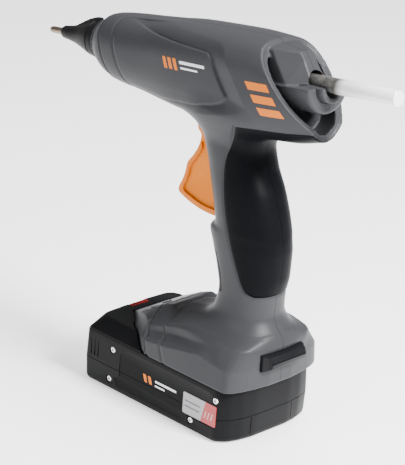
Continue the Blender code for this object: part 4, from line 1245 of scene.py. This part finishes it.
def pack_form():
    form = loft("form", [pack_ring(height, shrink) for height, shrink in (
        (0.0, 2.2), (0.5, 1.4), (1.4, 0.7), (3.0, 0.35), (14.4, 0.0), (16.0, 0.0), (32.6, 0.5),
        (33.2, 0.7), (33.5, 1.1))])
    low = [(37.6, -55.6), (36.4, -58.6), (33.0, -59.8), (10.0, -60.0)]
    mid = [(36.6, -54.6), (35.0, -57.6), (31.6, -59.0), (10.0, -59.4)]
    high = [(31.4, -50.0), (29.8, -54.4), (25.4, -57.0), (10.0, -57.8)]
    top = [(30.4, -49.2), (28.8, -53.4), (24.6, -56.0), (10.0, -56.8)]
    rings = []
    for height, line in ((30.5, low), (34.0, low), (35.4, mid), (40.4, high), (41.0, top)):
        half = [(line[0][0], 10.0)] + line
        outline = half + [(-x, y) for x, y in reversed(half)]
        rings.append([(x, y, height) for x, y in rounded_corners(outline, 2.6, 4)])
    join(form, cut(loft("nose", rings), foot_room()))
    rail = soften(block("rail", (-17.0, -52.0, 30.0), (17.0, 40.0, 37.2)), 0.3, 2)
    head = soften(block("head", (-21.0, -52.0, 36.8), (21.0, 40.0, 40.0)), 0.4, 2)
    return join(form, rail, head)


def pack_hollow():
    hollow = loft("hollow", [pack_ring(2.2, 5.2), pack_ring(5.2, 2.8), pack_ring(33.1, 2.8)])
    return join(hollow, block("top", (-15.0, -44.0, 25.0), (15.0, 36.0, 38.0)))


PACK_SCREWS = [(-36.0, 26.5), (-38.0, 6.8), (32.0, 6.8), (51.0, 26.5)]


class GLUEGUN_OT_pack(BuildPiece):
    """Build the battery pack's cases, label and release button, and cut the seats of its screws"""

    bl_idname = "glue_gun.pack"
    bl_label = "Battery Pack"

    def make(self, context):
        form = pack_form()
        cut(form, pack_hollow())
        well = soften(block("well", (-7.3, -61.0, 34.5), (7.3, -52.7, 60.0)), 0.5, 3)
        cut(form, well)
        for x in (-10.0, 0.0, 10.0):
            cut(form, block("slit", (x - 1.3, 10.0, 36.0), (x + 1.3, 60.0, 42.0)))
        for side in (1, -1):
            outer = side * (PACK_HALF - 0.55)
            low, high = sorted((outer, side * 60.0))
            field = rounded_corners([
                (-31.0, 4.6), (24.0, 4.6), (28.6, 9.0), (54.0, 9.0), (54.0, 24.0), (48.0, 29.5),
                (44.0, 30.5), (-24.0, 30.5), (-29.0, 27.0), (-29.0, 11.6), (-33.4, 9.6)], 1.6, 4)
            cut(form, soften(plate("field", field, low, high), 0.35, 2, 50.0))
            for y, z in PACK_SCREWS:
                if side > 0:
                    cut(form, turned("head", [(36.3, 2.35), (60.0, 2.35)], "X", (y, z), 32))
            low, high = sorted((side * (PACK_HALF - 0.5), side * 60.0))
            for k in range(3):
                cut(form, plate("rib", rectangle(-54.6 + 3.0 * k, 17.6, 1.1, 11.0, 0.5, 3), low, high))
            middle = side * 17.25
            cut(form, block("slit", (middle - 0.25, 59.9, 3.0), (middle + 0.25, 70.0, 14.0)))
        lower = within(twin(form, "lower"), block("low", (-90.0, -90.0, -5.0), (90.0, 90.0, 14.82)))
        upper = within(form, block("high", (-90.0, -90.0, 15.18), (90.0, 90.0, 80.0)))
        dress(lower, "lower_case", "pack_plastic", "pack", ("pack_lower_case",))
        dress(upper, "upper_case", "pack_plastic", "pack", ("pack_upper_case",))
        seal = cut(loft("seal", [pack_ring(14.5, 0.8), pack_ring(15.5, 0.8)]),
                   loft("seal_in", [pack_ring(14.0, 2.4), pack_ring(16.0, 2.4)]))
        dress(seal, "case_tongue", "pack_plastic", "pack")
        label = plate("label", rectangle(25.6, 9.8, 27.0, 13.4, 1.0, 4), 37.86, 38.2)
        dress(label, "side_label", "label_film", "pack", ("pack_label",))
        slants = [[(-9.0 + shift, 21.4), (-6.6 + shift, 21.4), (-5.0 + shift, 16.6), (-7.4 + shift, 16.6)]
                  for shift in (0.0, 4.1)]
        marks = merged(*[plate("mark", rounded_corners(slant, 0.4, 3), 37.9, 38.02) for slant in slants])
        dress(marks, "pack_marks", "orange_ink", "pack")
        lines = merged(*[plate("line", rectangle(*line, 0.3, 3), 37.9, 38.02)
                         for line in ((1.6, 19.2, 17.8, 1.4), (1.6, 16.6, 8.2, 1.0))])
        dress(lines, "pack_lines", "pale_ink", "pack")
        side_view = [(-59.6, 36.8), (-59.6, 37.4), (-57.8, 40.2), (-56.0, 41.2), (-53.0, 41.2), (-53.0, 36.8)]
        key = plate("key", rounded_corners(side_view, 0.7, 4), -7.0, 7.0)
        soften(key, 0.4, 3, 40.0)
        for k in range(3):
            y = -56.0 + 0.9 * k
            cut(key, block("groove", (-5.4, y - 0.2, 40.9), (5.4, y + 0.2, 43.0)))
        dress(key, "release_key", "release_plastic", "release", ("release_button",))


def star_socket(y, z, low, high, radius):
    """A six-lobed socket."""
    outline = []
    for i in range(48):
        angle = 2 * math.pi * i / 48
        reach = radius * (1.0 - 0.14 * (0.5 - 0.5 * math.cos(6 * angle)))
        outline.append((y + reach * math.cos(angle), z + reach * math.sin(angle)))
    return plate("socket", outline, low, high)


class GLUEGUN_OT_screws(BuildPiece):
    """Build every screw with its rounded head and star socket"""

    bl_idname = "glue_gun.screws"
    bl_label = "Screws"

    def make(self, context):
        for key, (y, z, seat) in screw_places().items():
            top = seat + 2.3
            outline = [
                (-10.0, 1.2), (-9.4, 1.5), (seat + 0.3, 1.5), (seat + 0.3, 2.8), (top - 0.9, 2.8),
                (top - 0.35, 2.6), (top - 0.08, 2.1), (top, 1.5),
            ]
            pin = turned("screw", outline, "X", (y, z), 40)
            cut(pin, star_socket(y, z, top - 1.0, top + 1.0, 1.25))
            mirrored(pin)
            dress(pin, "body_screw_" + key, "bright_steel", stands_for=("housing_screw_" + key,))
        for i, (y, z) in enumerate(PACK_SCREWS):
            top = PACK_HALF - 0.5
            outline = [
                (34.8, 1.0), (top - 1.4, 1.0), (top - 1.4, 2.0), (top - 0.7, 2.0), (top - 0.25, 1.85),
                (top - 0.05, 1.5), (top, 1.1),
            ]
            pin = turned("screw", outline, "X", (y, z), 40)
            cut(pin, star_socket(y, z, top - 0.8, top + 1.0, 0.95))
            number = str(i + 1)
            dress(pin, "case_screw_" + number, "bright_steel", "pack", ("pack_screw_" + number,))


INSIDE = {
    "cast_metal": ("melt_chamber",),
    "heater_film": ("heating_element",),
    "bright_steel": ("heater_clamp", "sleeve_clip", "grip_jaw", "jaw_pin", "trigger_pin", "return_spring"),
    "pale_ink": ("temperature_sensor", "sensor_lead"),
    "red_silicone": ("inlet_sleeve", "front_support_ring", "rear_support_ring"),
    "pack_plastic": ("feed_carriage", "terminal_block"),
    "circuit_green": ("circuit_board", "pack_board"),
    "wrapped_lead": ("heater_lead",),
    "plain_brass": ("contact_plus", "contact_data", "contact_minus"),
    "cell_film": ("cell_1", "cell_2", "cell_3", "cell_4", "cell_5"),
}


class GLUEGUN_OT_inside(BuildPiece):
    """Give the parts inside the gun and the pack their finishes"""

    bl_idname = "glue_gun.inside"
    bl_label = "Inside Parts"

    def make(self, context):
        for finish, names in INSIDE.items():
            for name in names:
                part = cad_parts[name]
                part.data.materials.clear()
                part.data.materials.append(finish_for(finish))


FLOOR_REACH = 6000.0
CAMERA_TURN, CAMERA_RISE, CAMERA_ROLL = (math.radians(angle) for angle in (133.74, 21.78, 4.07))
CAMERA_AIM = Vector((0.00828, 0.00309, 0.1086))
CAMERA_DISTANCE = 1.335


class GLUEGUN_OT_stage(BuildPiece):
    """Set up the pale floor, the soft lights and the camera"""

    bl_idname = "glue_gun.stage"
    bl_label = "Stage"

    def make(self, context):
        scene = context.scene
        g = Graph("pale_floor")
        g.finish((0.93, 0.93, 0.94), 0.7 + (g.noise(3.0) - 0.5) * 0.05, specular_ior_level=0.1,
                 emission_color=(1.0, 1.0, 1.0, 1.0), emission_strength=0.85)
        corners = [(x * FLOOR_REACH, y * FLOOR_REACH, -0.2) for x, y in ((-1, -1), (1, -1), (1, 1), (-1, 1))]
        ground = solid("ground", corners, [(0, 1, 2, 3)])
        ground.data.materials.append(g.material)
        world = bpy.data.worlds.new("studio")
        scene.world = world
        world.use_nodes = True
        back = world.node_tree.nodes["Background"]
        back.inputs["Color"].default_value = (0.93, 0.94, 0.96, 1.0)
        back.inputs["Strength"].default_value = 0.42
        for name, energy, size, at, towards in (
            ("key", 58.0, 0.34, (-0.10, 0.95, 0.95), (0.0, 0.0, 0.13)),
            ("fill", 8.0, 0.9, (1.15, -0.25, 0.75), (0.0, 0.0, 0.12)),
            ("top", 20.0, 0.5, (-0.25, 0.1, 1.3), (0.0, 0.0, 0.1)),
        ):
            lamp = bpy.data.lights.new(name, "AREA")
            lamp.energy = energy
            lamp.size = size
            lamp.shape = "SQUARE"
            holder = bpy.data.objects.new(name, lamp)
            scene.collection.objects.link(holder)
            holder.location = at
            holder.rotation_euler = (Vector(towards) - Vector(at)).to_track_quat("-Z", "Y").to_euler()
        flat = math.cos(CAMERA_RISE)
        back_way = Vector((
            math.sin(CAMERA_TURN) * flat, -math.cos(CAMERA_TURN) * flat, math.sin(CAMERA_RISE)))
        right = Vector((0.0, 0.0, 1.0)).cross(back_way).normalized()
        up = back_way.cross(right)
        across = right * math.cos(CAMERA_ROLL) + up * math.sin(CAMERA_ROLL)
        above = up * math.cos(CAMERA_ROLL) - right * math.sin(CAMERA_ROLL)
        lens = bpy.data.cameras.new("camera")
        lens.sensor_fit = "VERTICAL"
        lens.sensor_height = 36.0
        lens.sensor_width = 36.0
        lens.lens = 176.7
        lens.clip_start, lens.clip_end = 0.05, 20.0
        camera = bpy.data.objects.new("camera", lens)
        scene.collection.objects.link(camera)
        place = Matrix((across, above, back_way)).transposed().to_4x4()
        place.translation = CAMERA_AIM + back_way * CAMERA_DISTANCE
        camera.matrix_world = place
        scene.camera = camera


class GLUEGUN_PT_panel(bpy.types.Panel):
    """Sizes, colours and build buttons of the glue gun"""

    bl_idname = "GLUEGUN_PT_panel"
    bl_label = "Glue Gun"
    bl_space_type = "VIEW_3D"
    bl_region_type = "UI"
    bl_category = "Glue Gun"

    def draw(self, context):
        column = self.layout.column()
        for group in (sizes(), colours()):
            for key in group.__annotations__:
                column.prop(group, key)
        for operator in OPERATORS:
            column.operator(operator.bl_idname)


OPERATORS = (
    GLUEGUN_OT_stage, GLUEGUN_OT_housing, GLUEGUN_OT_trigger, GLUEGUN_OT_nozzle, GLUEGUN_OT_stick,
    GLUEGUN_OT_foot, GLUEGUN_OT_pack, GLUEGUN_OT_screws, GLUEGUN_OT_inside,
)
CLASSES = (GlueGunSizes, GlueGunColours, *OPERATORS, GLUEGUN_PT_panel)


def register():
    for item in CLASSES:
        bpy.utils.register_class(item)
    bpy.types.Scene.glue_gun_sizes = bpy.props.PointerProperty(type=GlueGunSizes)
    bpy.types.Scene.glue_gun_colours = bpy.props.PointerProperty(type=GlueGunColours)


def unregister():
    del bpy.types.Scene.glue_gun_colours
    del bpy.types.Scene.glue_gun_sizes
    for item in reversed(CLASSES):
        bpy.utils.unregister_class(item)


def main():
    register()
    for operator in OPERATORS:
        group, name = operator.bl_idname.split(".")
        getattr(getattr(bpy.ops, group), name)()


if __name__ == "__main__":
    main()
